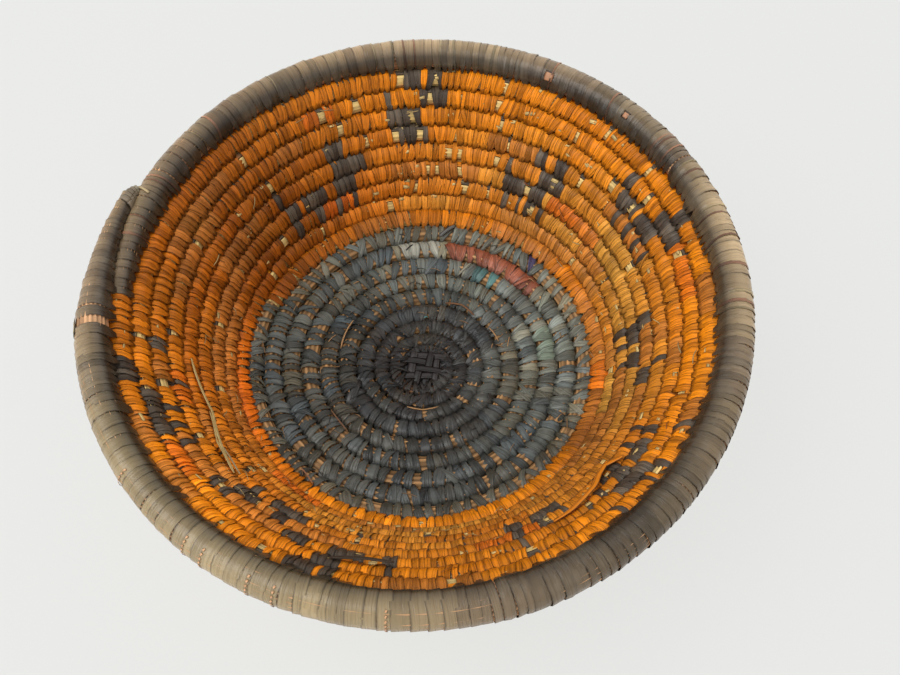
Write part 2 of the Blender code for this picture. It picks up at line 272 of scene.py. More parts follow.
# The lowest that the stems reach, just over the worn strips
GRASS_FLOOR = WEAR_DEPTH * 1.15
# Steps to one unit of the stems' own map, and steps that a column of the OFBake map is wide
MAP_STEPS = 40
COLUMN_STEPS = 4.5
# The strip carried on the wall's coil: steps to a turn, steps of one dye, share of dark ones and its side
CARRIED_STEPS = 120
CARRIED_RUN = 9
CARRIED_DARK = 0.7
CARRIED_SIDE = math.radians(48)
CARRIED_SEED = 9

# Section of a loose or tied strip: across from its middle, and up, in half widths and half thicknesses
RIBBON_SECTION = ((-1, 0), (-0.4, 1), (0.1, 0.7), (0.5, 1), (1, 0), (0, -0.6))
RIBBON_STRAND = 0.37

# Bearings of the rim's bare place and of the lines of dashes
BARE_BEARING = 187.5
DASH_BEARINGS = (217, 231.8, 235, 242.6, 246.5, 262)
# Where stems show on the rim's inner side: bearing, from and to round the coil in degrees, and width
RIM_PATCHES = ((57.3, -24, 8, 0.004), (37.6, -6, 16, 0.0026))
# The strips that close the rim's tapered end: distance past the end in turns, reach and width of each
TIP_WRAPS = (
    (-0.0042, 0.0026, 0.0026),
    (-0.0016, 0.0024, 0.0026),
    (0.001, 0.0021, 0.0024),
    (0.0032, 0.0017, 0.0022),
    (0.0052, 0.0012, 0.002),
)

# The knot's strips: how far each lies from the middle, and which row lies over which column, as photographed
KNOT_TURNED = math.radians(-13)
KNOT_ROWS = (0.0046, 0.0016, -0.0016, -0.0046)
KNOT_COLUMNS = (-0.0048, -0.0016, 0.0017, 0.0047)
KNOT_OVER = ((-1, 1, -1, 1), (1, 1, -1, -1), (-1, 1, 1, 1), (1, -1, 1, -1))
# Its two faces and their heights, how far its strips reach from the middle, and how far they rise over others
KNOT_FACES = ((1, 0.0042), (-1, 0.0016))
KNOT_REACH = 0.0088
KNOT_RISE = 0.00032
KNOT_SEED = 5
# The disc between the faces
KNOT_DISC_RADIUS = 0.0096
KNOT_DISC_DEPTH = 0.0012
KNOT_DISC_HEIGHT = 0.00265

# Loose ends: slot, node, dye, width, thickness, arch, and places as row from the rim and degrees clockwise
LOOSE_ENDS = {
    "pale_straw": (
        "straw", "pale_straw_end", PALE_STRAW, 0.0012, 0.0007, 0.0004,
        ((4.9, 325.3), (5.4, 309.8), (4.3, 292.6)),
    ),
    "dark_strip": (
        "dark_leaf", "dark_loose_strip", BROWN_BLACK, 0.0026, 0.0005, 0.001,
        ((2.0, 263), (2.5, 252.4)),
    ),
    "orange_strip": (
        "orange_leaf", "orange_loose_strip", BRIGHT_ORANGE, 0.003, 0.0005, 0.0008,
        ((3.5, 201.3), (4.2, 204.3), (3.9, 207.5), (3.4, 210.5), (3.2, 214.2), (3.05, 217.6), (3.05, 222)),
    ),
}

# Short straws and strips that were left lying in the bowl: places, width and dye
SHORT_ENDS = (
    (((5.33, 310.5), (4.75, 301.5)), 0.001, PALE_STRAW),
    (((4.72, 301.6), (4.2, 291.4)), 0.0014, PALE_STRAW),
    (((4.85, 300.2), (4.5, 290.8)), 0.001, CREAM),
    (((13.52, 12.5), (13.6, -10.9)), 0.0007, TAN_STRAW),
    (((13.43, 307), (13.3, 290.8)), 0.0007, BROWN_STRAW),
    (((16.28, 265.9), (16.1, 249), (16.19, 232.9)), 0.0006, TAN_STRAW),
    (((14.57, 85.7), (14.4, 99), (14.58, 112)), 0.0009, BROWN_STRAW),
    (((14.5, 128.4), (14.44, 142)), 0.0006, TAN_STRAW),
    (((10.3, 74.6), (9.56, 79.9)), 0.0016, (0.16, 0.16, 0.15)),
    (((9.86, 290.4), (9.41, 283.6)), 0.0007, PINK_STRAW),
    (((15.75, 68), (15.7, 72)), 0.0008, (0.1, 0.3, 0.3)),
)
# How many chips of straw and fine hairs there are, and the row from the rim at which the base begins
CHIP_COUNT = 230
HAIR_COUNT = 110
BASE_ROW = 9.5
ENDS_SEED = 17

# The photograph's size, and the place of the base's middle in it, in pixels
PICTURE_SIZE = (900, 675)
BASE_MIDDLE = (424.53, 367.45)
SENSOR_WIDTH = 36
# How bright the camera sees the world behind the floor
BACKGROUND_STRENGTH = 0.82
# Lamps: name, power as a share of the key light, size and place
LAMPS = (
    ("key", 1, 1.1, (-0.85, -0.2, 1.2)),
    ("fill", 0.2, 1.4, (0.7, -1.0, 1.1)),
    ("window", 0.12, 0.35, (-0.97, -0.72, 0.49)),
    ("far fill", 0.25, 1.2, (0.8, 0.9, 1.0)),
)


def ramp(low, high, share):
    return low + (high - low) * np.clip(share, 0, 1)


def angle_at(turn):
    return JOIN_ANGLE - math.tau * (np.asarray(turn, float) - BASE_TURNS)


def rim_turn(degrees):
    """Turn of the rim in a direction seen from above, 0 to the right and 90 away."""
    return RIM_START + ((JOIN_ANGLE - math.radians(degrees)) / math.tau + BASE_TURNS - RIM_START) % 1


def coil_radius(turn):
    """Radius of the coil this many turns from the knot. Before turn 0 it is the thin start round the knot."""
    turn = np.asarray(turn, float)
    base = ramp(FIRST_COIL_RADIUS, BASE_COIL_RADIUS, turn / THICKENING_TURNS)
    base = np.where(turn < 0, ramp(START_COIL_RADIUS, FIRST_COIL_RADIUS, turn + 1), base)
    wall = ramp(BASE_COIL_RADIUS, WALL_COIL_RADIUS, (turn - BASE_TURNS) / WALL_BLEND_TURNS)
    swollen = ramp(WALL_COIL_RADIUS, RIM_COIL_RADIUS, (turn - RIM_START) / RIM_SWELL_TURNS)
    rim = ramp(RIM_TIP_RADIUS, swollen, (COIL_TURNS - turn) / RIM_TAPER_TURNS)
    even = np.where(turn < BASE_TURNS, base, np.where(turn < RIM_START, wall, rim))
    return even * (1 + THICK_SIDE_SHARE * np.sin(angle_at(turn)) ** 2 * np.clip(turn - THICK_SIDE_TURN, 0, 1))


def wrapped_radius(turn):
    """Radius of the coil out to the strips round it."""
    return coil_radius(turn) + ROW_GAP / 2


def slope_at(slant):
    dish = DISH_ANGLE * np.clip(slant / DISH_SLANT, 0, 1) ** 2
    flare = FLARE_ANGLE * np.clip(slant - DISH_SLANT - CORNER_SLANT, 0, None) / FLARE_SLANT
    return ramp(dish, WALL_ANGLE, (slant - DISH_SLANT) / CORNER_SLANT) - flare


PROFILE_SLANTS = np.arange(0, PROFILE_REACH, PROFILE_STEP)
PROFILE_SLOPES = slope_at(PROFILE_SLANTS + PROFILE_STEP / 2)
PROFILE_DISTANCES = np.concatenate([[0], np.cumsum(np.cos(PROFILE_SLOPES)) * PROFILE_STEP])[:-1]
PROFILE_HEIGHTS = np.concatenate([[0], np.cumsum(np.sin(PROFILE_SLOPES)) * PROFILE_STEP])[:-1]


def side_point(slant, turn, lift=0):
    """Points on the side's middle surface, or lifted off it towards the inside of the bowl."""
    angle = angle_at(turn)
    slope = slope_at(slant)
    uneven = np.clip((slant - UNEVEN_FROM_SLANT) / (UNEVEN_FULL_SLANT - UNEVEN_FROM_SLANT), 0, 1)
    distance = np.interp(slant, PROFILE_SLANTS, PROFILE_DISTANCES)
    distance = distance - uneven * RIM_OVAL * np.cos(2 * angle) - lift * np.sin(slope)
    x = distance * np.cos(angle) + uneven * RIM_SHIFT_X
    y = distance * np.sin(angle) + uneven * RIM_SHIFT_Y
    z = np.interp(slant, PROFILE_SLANTS, PROFILE_HEIGHTS) + lift * np.cos(slope) + COIL_LIFT
    return np.stack(np.broadcast_arrays(x, y, z), axis=-1)


def drop_of(turn):
    """The first turns are thinner, and keep their undersides level."""
    level = BASE_COIL_RADIUS - coil_radius(np.minimum(turn, THICKENING_TURNS))
    start = ramp(START_DROP, BASE_COIL_RADIUS - FIRST_COIL_RADIUS, turn + 1)
    return np.where(np.asarray(turn) < 0, start, level)


def spiral_slants():
    """Slant of each station, so far up the side that its turn lies against the one before it."""
    first_row = FIRST_COIL_RADIUS + float(coil_radius(1)) + ROW_GAP
    slants, centres = [], []
    for i in range(math.ceil(COIL_TURNS * STATIONS) + 2):
        turn = i / STATIONS
        drop = [0, 0, float(drop_of(turn))]
        if turn < 1:
            slant = KNOT_RADIUS + ROW_GAP + FIRST_COIL_RADIUS + turn * first_row
        else:
            below = slants[i - STATIONS]
            row = float(coil_radius(turn - 1) + coil_radius(turn)) + ROW_GAP
            rise = row
            for _ in range(SEATING_STEPS):
                centre = side_point(below + rise, turn) - drop
                rise *= row / np.linalg.norm(centre - centres[i - STATIONS])
            slant = below + rise
        slants.append(slant)
        centres.append(side_point(slant, turn) - drop)
    return np.array(slants)


STATION_SLANTS = spiral_slants()
START_SLANTS = np.linspace(START_SLANT, STATION_SLANTS[0], STATIONS, endpoint=False)
SLANTS = np.concatenate([START_SLANTS, STATION_SLANTS])


def slant_of(turn):
    return np.interp((np.asarray(turn, float) + 1) * STATIONS, np.arange(len(SLANTS)), SLANTS)


def unit(vectors):
    return vectors / np.linalg.norm(vectors, axis=-1, keepdims=True)


def coil_frame(turn):
    """Centre of the coil, the way it runs, the way the bowl's inside faces, and the way up the side."""
    turn = np.asarray(turn, float)
    slant = slant_of(turn)
    drop = np.zeros((*turn.shape, 3))
    drop[..., 2] = drop_of(turn)
    middle = side_point(slant, turn)
    ahead, behind = turn + RUN_STEP, turn - RUN_STEP
    along = unit(side_point(slant_of(ahead), ahead) - side_point(slant_of(behind), behind))
    facing = side_point(slant, turn, FACING_STEP) - middle
    facing = unit(facing - along * np.sum(facing * along, axis=-1, keepdims=True))
    return middle - drop, along, facing, np.cross(facing, along)


def outward(swing, facing, up):
    """Direction out of the coil, at an angle from where it faces in towards the way up the side."""
    return np.cos(swing) * facing + np.sin(swing) * up


def row_turn(row, degrees):
    """Turn of a wall row, counted down from the rim, at an angle clockwise from the end of the base coil."""
    share = degrees / 360
    return BASE_TURNS + share + math.floor(WALL_TURNS - share) - (row - 1)


def base_row_turn(row, degrees):
    return BASE_TURNS - row + degrees / 360


def bearing(turns):
    """Direction of each turn seen from above, in degrees, 0 to the right and 90 away."""
    return np.degrees(angle_at(turns)) % 360


def strength(degrees, table):
    return np.interp(degrees % 360, np.linspace(0, 360, len(table)), table)


def near(degrees, middle, width):
    """How near a direction is to a middle one, from 0 to 1."""
    away = np.abs((degrees - middle + 180) % 360 - 180)
    return np.clip(1 - away / width, 0, 1)


def mixed(first, second, share):
    return np.asarray(first) + (np.asarray(second) - np.asarray(first)) * share


class Wire:
    """A shader socket that takes part in sums and products."""

    def __init__(self, socket):
        self.socket = socket

    def worked(self, operation, *others, turned=False):
        node = self.socket.node.id_data.nodes.new("ShaderNodeMath")
        node.operation = operation
        for socket, value in zip(node.inputs, (*others, self) if turned else (self, *others)):
            plug(socket, value)
        return Wire(node.outputs[0])

    def __add__(self, other):
        return self.worked("ADD", other)

    def __mul__(self, other):
        return self.worked("MULTIPLY", other)

    def __sub__(self, other):
        return self.worked("SUBTRACT", other)

    def __rsub__(self, other):
        return self.worked("SUBTRACT", other, turned=True)

    def __truediv__(self, other):
        return self.worked("DIVIDE", other)

    __radd__ = __add__
    __rmul__ = __mul__

    def clamped(self, low=0, high=1):
        return self.worked("MAXIMUM", low).worked("MINIMUM", high)


def plug(socket, value):
    if isinstance(value, Wire):
        socket.id_data.links.new(value.socket, socket)
    else:
        socket.default_value = value


def in_use(sockets, name=None):
    return next(socket for socket in sockets if socket.enabled and name in (None, socket.name))


class Tree:
    """Adds nodes to a shader or geometry tree."""

    def __init__(self, tree):
        self.tree = tree

    def node(self, kind, values=None, output=None, **settings):
        """Adds one node, sets it, fills its sockets and gives one of its outputs."""
        node = self.tree.nodes.new(kind)
        for name, value in settings.items():
            setattr(node, name, value)
        for name, value in (values or {}).items():
            plug(node.inputs[name] if isinstance(name, int) else in_use(node.inputs, name), value)
        return Wire(in_use(node.outputs, output))

    def parts(self, vector):
        """The three numbers of a vector."""
        first = self.node("ShaderNodeSeparateXYZ", {"Vector": vector}, "X")
        return [Wire(socket) for socket in first.socket.node.outputs]

    def noise(self, vector, scale, **more):
        """Noise with a little detail. With a W it varies from strip to strip."""
        values = {"Vector": vector, "Scale": scale, "Detail": 3, "Roughness": 0.6, **more}
        return self.node("ShaderNodeTexNoise", values, "Fac", noise_dimensions="4D" if more else "3D")

    def stretched(self, vector, factors):
        return self.node("ShaderNodeVectorMath", {0: vector, 1: factors}, operation="MULTIPLY")

    def dyed(self, shade):
        """Each strip's or stem's own dye, made lighter or darker."""
        dye = self.node("ShaderNodeAttribute", output="Color", attribute_name="dye")
        return self.node("ShaderNodeVectorMath", {"Vector": dye, "Scale": shade}, operation="SCALE")


def shader_of(name):
    material = bpy.data.materials.new(name)
    material.use_nodes = True
    return material, Tree(material.node_tree), material.node_tree.nodes["Principled BSDF"]


def finish_shader(tree, shader, colour, roughness, gloss, height, strength, distance):
    values = {"Height": height, "Strength": strength, "Distance": distance}
    relief = tree.node("ShaderNodeBump", values, "Normal")
    values = {"Base Color": colour, "Roughness": roughness, "Specular IOR Level": gloss, "Normal": relief}
    for name, value in values.items():
        plug(shader.inputs[name], value)


def leaf_material(name, roughness, gloss, worn_colour, worn_share, streak=1.0, crown=0.0):
    """Dyed leaf: each strip's own dye, lengthwise fibres, painted shade in the grooves, along each strip's
    edges and on the rim's inner side, and worn, paler patches.
    """
    material, tree, shader = shader_of(name)
    strand = tree.node("ShaderNodeAttribute", output="Fac", attribute_name="strand")
    place = tree.node("ShaderNodeUVMap", uv_map="leaf")
    across, down, _ = tree.parts(place)

    def streaks(stretch, scale, offset):
        return tree.noise(tree.stretched(place, stretch), scale, W=strand * 90 + offset)

    def groove(middle, sharpness):
        return (1 - (down - middle).worked("ABSOLUTE") * sharpness).clamped()

    fibre = streaks((5.5, 1.1, 1), 1.6, 0)
    band = streaks((1.2, 3, 1), 1.2, 7)
    split = (1 - (streaks((2.2, 0.3, 1), 1.3, 13) - 0.5).worked("ABSOLUTE") * 24).clamped() * streak
    # Painted shade along both long edges of each strip, where it meets the next strip
    edge = (((across - 0.5).worked("ABSOLUTE") - 0.37) * 8).clamped()
    # Painted shade where the strip dives into the grooves between rows and at its tips; less of it on the rim
    outside = groove(OUTER_TIP, 11) + groove(UPPER_GROOVE, 12)
    groove_shade = 1 - groove(INNER_TIP, 11) * 0.8 - outside * (0.75 - crown * 0.65)
    # On the rim the loop's inner, lower side is darkened as painted shade, and its top is made a little paler
    # as worn
    inside = ((down - 0.34) * 3.4).clamped(-0.86, 0.1) - (down * 14 - 12.4).clamped() * 0.9
    grain = 1 + ((fibre - 0.5) * 1.1 + (band - 0.5) * 0.8) * streak
    shade = grain * (1 - split * 0.45) * (1 - edge * (0.85 - crown * 0.25)) * groove_shade * (1 + inside * crown)
    patch = tree.noise(tree.node("ShaderNodeTexCoord", output="Object"), 70)
    worn = (((patch - 0.5) * 5 + (fibre - 0.5) * 2) * worn_share).clamped()
    values = {"Factor": worn, "A": tree.dyed(shade), "B": (*worn_colour, 1)}
    faded = tree.node("ShaderNodeMix", values, "Result", data_type="RGBA")
    rough = (roughness + (fibre - 0.5) * 0.4 + split * 0.15).clamped()
    finish_shader(tree, shader, faded, rough, gloss, fibre * 0.5 * streak - split * 0.6, 0.8, 0.00025)
    return material


def grass_material(name):
    """Dry grass stems that lie side by side."""
    material, tree, shader = shader_of(name)
    stem = tree.noise(tree.stretched(tree.node("ShaderNodeUVMap", uv_map="leaf"), (11, 2, 1)), 2.2)
    finish_shader(tree, shader, tree.dyed(0.35 + stem * 1.2), 0.5, 0.2, stem, 0.6, 0.0002)
    return material


def skin(name, rings, maps, looped=False):
    """A closed skin over rings of points. Each map gives the place of a face's corner."""
    shell = bmesh.new()
    layers = [(shell.loops.layers.uv.new(label), place) for label, place in maps.items()]
    rings = [[shell.verts.new(point) for point in ring] for ring in rings]
    sides = len(rings[0])
    for i in range(len(rings) if looped else len(rings) - 1):
        here, there = rings[i], rings[(i + 1) % len(rings)]
        for j in range(sides):
            after = (j + 1) % sides
            face = shell.faces.new((here[j], here[after], there[after], there[j]))
            face.smooth = True
            for loop, (down, across) in zip(face.loops, ((i, j), (i, j + 1), (i + 1, j + 1), (i + 1, j))):
                for layer, place in layers:
                    loop[layer].uv = place(i, down, across)
    if not looped:
        shell.faces.new(rings[0])
        shell.faces.new(rings[-1])
    bmesh.ops.recalc_face_normals(shell, faces=shell.faces)
    if looped:
        for here, there in zip(rings, rings[1:] + rings[:1]):
            for ends in zip(here, there):
                shell.edges.get(ends).smooth = False
    mesh = bpy.data.meshes.new(name)
    shell.to_mesh(mesh)
    shell.free()
    return mesh


def store(mesh, label, kind, numbers):
    """Keeps a number, a vector or a colour for each point of a mesh."""
    layer = mesh.attributes.new(label, kind, "POINT")
    layer.data.foreach_set(ATTRIBUTE_FIELDS[kind], np.asarray(numbers).ravel())


def store_dyes(mesh, dyes):
    store(mesh, "dye", "FLOAT_COLOR", np.concatenate([dyes, np.ones((len(dyes), 1))], axis=1))


def leaf_template(name, tip, widths, lifts, rng):
    """One strip as a closed band: a creased face outside and a flat face inside."""
    places = [(math.cos(math.radians(degrees)), math.sin(math.radians(degrees))) for degrees in ROUND_DEGREES]
    shoulder = (places[1][0] + tip[0]) / 2
    places[0], places[-1] = (shoulder, -0.72), (-shoulder, -0.72)
    places += [(-tip[0], -tip[1]), (0, -tip[1] - 0.3), (tip[0], -tip[1])]
    bend = rng.uniform(-0.09, 0.09)
    taper = rng.uniform(0.8, 1.2)
    creases = np.array(CREASE_PLACES) + rng.uniform(-0.08, 0.08, ACROSS) * (0, 1, 2, 1, 0)
    rings = []
    for k, (facing, up) in enumerate(places):
        run = (Vector(places[(k + 1) % LOOP_POINTS]) - Vector(places[k - 1])).normalized()
        middle = bend * up + rng.uniform(-0.02, 0.02)
        width = widths[k] * rng.uniform(0.97, 1.03)
        if k in (0, 1, LOOP_POINTS - 1):
            width = min(1, width * taper)
        ring = []
        for share, lift in zip(creases, lifts):
            off = (lift + rng.uniform(-0.007, 0.007)) * min(1, widths[k] * 1.3)
            ring.append(((share - 0.5) * width + middle, up - run.x * off, facing + run.y * off))
        rings.append(ring)
    maps = {"leaf": lambda _, down, across: (across % ACROSS / (ACROSS - 1), down / LOOP_POINTS)}
    return bpy.data.objects.new(name, skin(name, rings, maps, looped=True))


def leaf_kinds(name, tips, widths, flatness, seed):
    """A collection of strips with different creases, tips and bends. The second half may be less flat."""
    rng = np.random.default_rng(seed)
    kinds = bpy.data.collections.new(name)
    for number in range(KIND_COUNT):
        lifts = np.array(CREASES[number % len(CREASES)]) * flatness[number // len(CREASES)]
        if number >= len(CREASES):
            lifts = lifts[::-1]
        kinds.objects.link(leaf_template(f"{name}_{number}", tips[number % len(tips)], widths, lifts, rng))
    return kinds


def stitching_tree():
    """Puts a strip on each place, turned to the coil's own directions, with a little random lean and tilt."""
    group = bpy.data.node_groups.new("sewn strips", "GeometryNodeTree")
    face = group.interface
    face.new_socket("Geometry", in_out="INPUT", socket_type="NodeSocketGeometry")
    for label, kind in SEWING_INPUTS.items():
        face.new_socket(label, in_out="INPUT", socket_type=f"NodeSocket{kind}")
    face.new_socket("Geometry", in_out="OUTPUT", socket_type="NodeSocketGeometry")
    tree = Tree(group)
    given = {socket.name: Wire(socket) for socket in group.nodes.new("NodeGroupInput").outputs}

    def stored(name, kind="FLOAT"):
        return tree.node("GeometryNodeInputNamedAttribute", {"Name": name}, "Attribute", data_type=kind)

    def chance(middle, spread, number):
        values = {"Min": middle - spread, "Max": middle + spread, "Seed": given["Seed"] + number}
        return tree.node("FunctionNodeRandomValue", values, "Value", data_type="FLOAT")

    facing, along = stored("facing", "FLOAT_VECTOR"), stored("along", "FLOAT_VECTOR")
    values = {"Primary Axis": facing, "Secondary Axis": along}
    turned = tree.node("FunctionNodeAxesToRotation", values, primary_axis="Z", secondary_axis="X")
    lean = chance(given["Lean"], given["Lean Spread"], 1) + stored("lean")
    tilt = chance(given["Tilt"], given["Tilt Spread"], 2)
    little = tree.node("ShaderNodeCombineXYZ", {"Y": tilt, "Z": lean})
    little = tree.node("FunctionNodeEulerToRotation", {"Euler": little})
    values = {"Rotation": turned, "Rotate By": little}
    rotation = tree.node("FunctionNodeRotateRotation", values, rotation_space="LOCAL")
    one = tree.node("ShaderNodeValue")
    one.socket.default_value = 1
    width = stored("span") * chance(one, given["Width Spread"], 3)
    reach = stored("reach")
    size = tree.node("ShaderNodeCombineXYZ", {"X": width, "Y": reach / lean.worked("COSINE"), "Z": reach})
    values = {"Collection": given["Strips"], "Separate Children": True, "Reset Children": True}
    kinds = tree.node("GeometryNodeCollectionInfo", values)
    values = {"Points": given["Geometry"], "Instance": kinds, "Pick Instance": True}
    values.update({"Instance Index": stored("kind", "INT"), "Rotation": rotation, "Scale": size})
    made = tree.node("GeometryNodeInstanceOnPoints", values)
    made = tree.node("GeometryNodeRealizeInstances", {"Geometry": made})
    x, y, height = tree.parts(tree.node("GeometryNodeInputPosition"))
    wear = given["Wear Depth"]
    top = given["Standing Height"] + wear
    pressed = ((height - top).worked("MINIMUM", 0) / wear).worked("EXPONENT")
    level = height.worked("MAXIMUM", top) + (pressed - 1) * wear
    raised = tree.node("ShaderNodeCombineXYZ", {"X": x, "Y": y, "Z": level})
    made = tree.node("GeometryNodeSetPosition", {"Geometry": made, "Position": raised})
    made = tree.node("GeometryNodeSetMaterial", {"Geometry": made, "Material": given["Leaf"]})
    plug(group.nodes.new("NodeGroupOutput").inputs["Geometry"], made)
    return group


def plain_mesh(obj):
    """The object's evaluated shape as a plain mesh, without the attributes that only placed the strips."""
    graph = bpy.context.evaluated_depsgraph_get()
    shape = obj.evaluated_get(graph)
    mesh = bpy.data.meshes.new_from_object(shape, preserve_all_data_layers=True, depsgraph=graph)
    for name in [layer.name for layer in mesh.attributes]:
        layer = mesh.attributes.get(name)
        if layer and not name.startswith(".") and name not in KEPT_ATTRIBUTES:
            mesh.attributes.remove(layer)
    return mesh


def give_cells(mesh, count):
    """Lays every strip flat in a cell of its own on a second map, OFBake."""
    corners = len(mesh.loops) // count
    leaf = np.empty(len(mesh.loops) * 2, np.float32)
    mesh.uv_layers["leaf"].data.foreach_get("uv", leaf)
    side, down = leaf.reshape(-1, 2).T
    loop = np.arange(len(mesh.loops))
    cell = loop // corners
    underside = loop % corners // 4 % ACROSS == ACROSS - 1
    across = np.where(underside, 0.86 + 0.1 * side, 0.02 + 0.8 * side)
    columns = math.ceil(math.sqrt(count * STRIP_ASPECT))
    rows = math.ceil(count / columns)
    across = (cell % columns + across) / columns
    down = (cell // columns + 0.01 + 0.98 * down) / rows
    flat = np.stack([across, down], axis=1).astype(np.float32)
    mesh.uv_layers.new(name="OFBake").data.foreach_set("uv", flat.ravel())


def add_piece(name, mesh, nodes, material=None):
    """Adds a piece that rides on the bowl's one body, in place of its solids."""
    mesh.name = name
    if material:
        mesh.materials.append(material)
    piece = bpy.data.objects.new(name, mesh)
    bpy.context.scene.collection.objects.link(piece)
    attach(piece, "root")
    if nodes:
        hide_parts(*nodes)


def sew(name, stitches, kinds, leaf, settings, nodes):
    """Sews one piece: a strip on each stitch's place."""
    centre, along, facing, _ = coil_frame(stitches["turn"])
    mesh = bpy.data.meshes.new(name)
    mesh.vertices.add(len(centre))
    mesh.vertices.foreach_set("co", centre.ravel())
    store(mesh, "along", "FLOAT_VECTOR", along)
    store(mesh, "facing", "FLOAT_VECTOR", facing)
    for label in ("reach", "span", "lean", "strand"):
        store(mesh, label, "FLOAT", stitches[label])
    store(mesh, "kind", "INT", stitches["kind"])
    store_dyes(mesh, stitches["dye"])
    places = bpy.data.objects.new(f"{name}_places", mesh)
    bpy.context.scene.collection.objects.link(places)
    modifier = places.modifiers.new("sewn strips", "NODES")
    modifier.node_group = bpy.data.node_groups.get("sewn strips") or stitching_tree()
    given = {"Strips": kinds, "Leaf": leaf, "Wear Depth": WEAR_DEPTH}
    for socket in modifier.node_group.interface.items_tree:
        if socket.name in given:
            modifier[socket.identifier] = given[socket.name]
        elif socket.name != "Geometry":
            modifier[socket.identifier] = getattr(settings, socket.name.lower().replace(" ", "_"))
    made = plain_mesh(places)
    give_cells(made, len(centre))
    bpy.data.objects.remove(places)
    add_piece(name, made, nodes)


def stitch_table(turns, span, lean, dyes, rng):
    count = len(turns)
    return {
        "turn": turns,
        "reach": wrapped_radius(turns),
        "span": span,
        "lean": lean,
        "strand": rng.random(count),
        "kind": rng.integers(0, KIND_COUNT, count),
        "dye": np.array(dyes),
    }


def chosen(stitches, mask):
    return {name: numbers[mask] for name, numbers in stitches.items()}


def together(stitches, extra):
    return {name: np.concatenate([numbers, extra[name]]) for name, numbers in stitches.items()}


def crossed(stitches, share, lean, rng):
    """Adds a few narrow strips that cross over the others at a slant."""
    extra = chosen(stitches, rng.random(len(stitches["turn"])) < share)
    count = len(extra["turn"])
    extra["lean"] = rng.choice([-1, 1], count) * rng.uniform(lean * 0.6, lean * 1.3, count)
    extra["reach"] = extra["reach"] * rng.uniform(1.03, 1.08, count)
    extra["span"] = extra["span"] * rng.uniform(0.45, 0.8, count)
    extra["strand"] = rng.random(count)
    return together(stitches, extra)


def laid_out(rng, *stretches):
    """Turn, pitch and run of the stitches on stretches of the coil: runs of like strips, with a few gaps."""
    stitches = []
    for turn, end, pitch_range, run_range, gap_chance, gap_length in stretches:
        run = stitches[-1][2] + 1 if stitches else 0
        while turn < end:
            pitch = rng.uniform(*pitch_range)
            for _ in range(rng.integers(*run_range)):
                length = pitch * rng.uniform(0.8, 1.2)
                circle = math.tau * np.linalg.norm(coil_frame(turn)[0][:2])
                if rng.random() < gap_chance(turn):
                    turn += gap_length * rng.uniform(0.6, 1.4) / circle
                if turn + length / 2 / circle >= end:
                    turn = end
                    break
                stitches.append((turn + length / 2 / circle, length, run))
                turn += length / circle
            run += 1
    return [np.array(column) for column in zip(*stitches)]


def in_spans(turns, spans):
    """Which stitches lie in these spans. A span with none takes the stitch nearest its middle."""
    found = np.zeros(len(turns), bool)
    for low, high in spans:
        inside = (turns >= low) & (turns <= high)
        if not inside.any():
            inside[np.argmin(np.abs(turns - (low + high) / 2))] = True
        found |= inside
    return found


def number_setting(name, description, default, **more):
    return bpy.props.FloatProperty(name=name, description=description, default=default, **more)


def length_setting(name, description, default):
    return number_setting(name, description, default, unit="LENGTH")


def angle_setting(name, description, default):
    return number_setting(name, description, default, subtype="ANGLE")


def colour_setting(name, description, default):
    return bpy.props.FloatVectorProperty(name=name, description=description, subtype="COLOR", default=default)


def sewing_settings(pitch_range, lean, lean_spread, tilt, tilt_spread, width_spread, seed):
    """The settings that the base, the wall and the rim share, each with its own defaults."""
    return {
        "pitch_low": length_setting("Narrowest Strip", "Least distance from strip to strip", pitch_range[0]),
        "pitch_high": length_setting("Widest Strip", "Greatest distance from strip to strip", pitch_range[1]),
        "lean": angle_setting("Lean", "Slant of the strips across the coil", lean),
        "lean_spread": angle_setting("Lean Spread", "How much the slant varies", lean_spread),
        "tilt": angle_setting("Tilt", "How far each strip rises over the one before", tilt),
        "tilt_spread": angle_setting("Tilt Spread", "How much the tilt varies", tilt_spread),
        "width_spread": number_setting("Width Spread", "How much widths vary", width_spread),
        "standing_height": length_setting("Standing Height", "Level the underside is worn flat at", 0.0001),
        "seed": bpy.props.IntProperty(
            name="Seed", description="Number behind the random draws", default=seed
        ),
    }


class BASKET_PG_base(bpy.types.PropertyGroup):
    """Strips of the base."""

    __annotations__ = {
        **sewing_settings((0.0024, 0.0042), 0, 0.22, 0.16, 0.12, 0.2, 11),
        "slate": colour_setting("Slate", "Dye of most strips", SLATE),
        "charcoal": colour_setting("Charcoal", "Dye of the middle turns", CHARCOAL),
        "teal_grey": colour_setting("Teal Grey", "Dye of the outer turns on the right", TEAL_GREY),
        "warm_grey": colour_setting("Warm Grey", "Faded dye of the last turn", WARM_GREY),
    }


class BASKET_PG_wall(bpy.types.PropertyGroup):
    """Strips of the wall."""

    __annotations__ = {
        **sewing_settings((0.0018, 0.0029), 0.03, 0.07, 0.12, 0.1, 0.12, 23),
        "orange": colour_setting("Orange", "Dye of most strips", ORANGE),
        "bright": colour_setting("Bright Orange", "Dye of the upper rows", BRIGHT_ORANGE),
        "ochre": colour_setting("Ochre", "Faded dye of the lower rows on the right", OCHRE),
        "dark": colour_setting("Figures", "Dye of the stepped figures", BROWN_BLACK),
    }


class BASKET_PG_rim(bpy.types.PropertyGroup):
    """Strips of the rim."""

    __annotations__ = {
        **sewing_settings((0.0024, 0.0042), 0.05, 0.06, 0.05, 0.03, 0.1, 37),
        "taupe": colour_setting("Taupe", "Dye of most strips", TAUPE),
        "dark_taupe": colour_setting("Dark Taupe", "Dye of the strips on the far side", DARK_TAUPE),
        "olive_beige": colour_setting("Olive Beige", "Worn dye on the near left", OLIVE_BEIGE),
    }


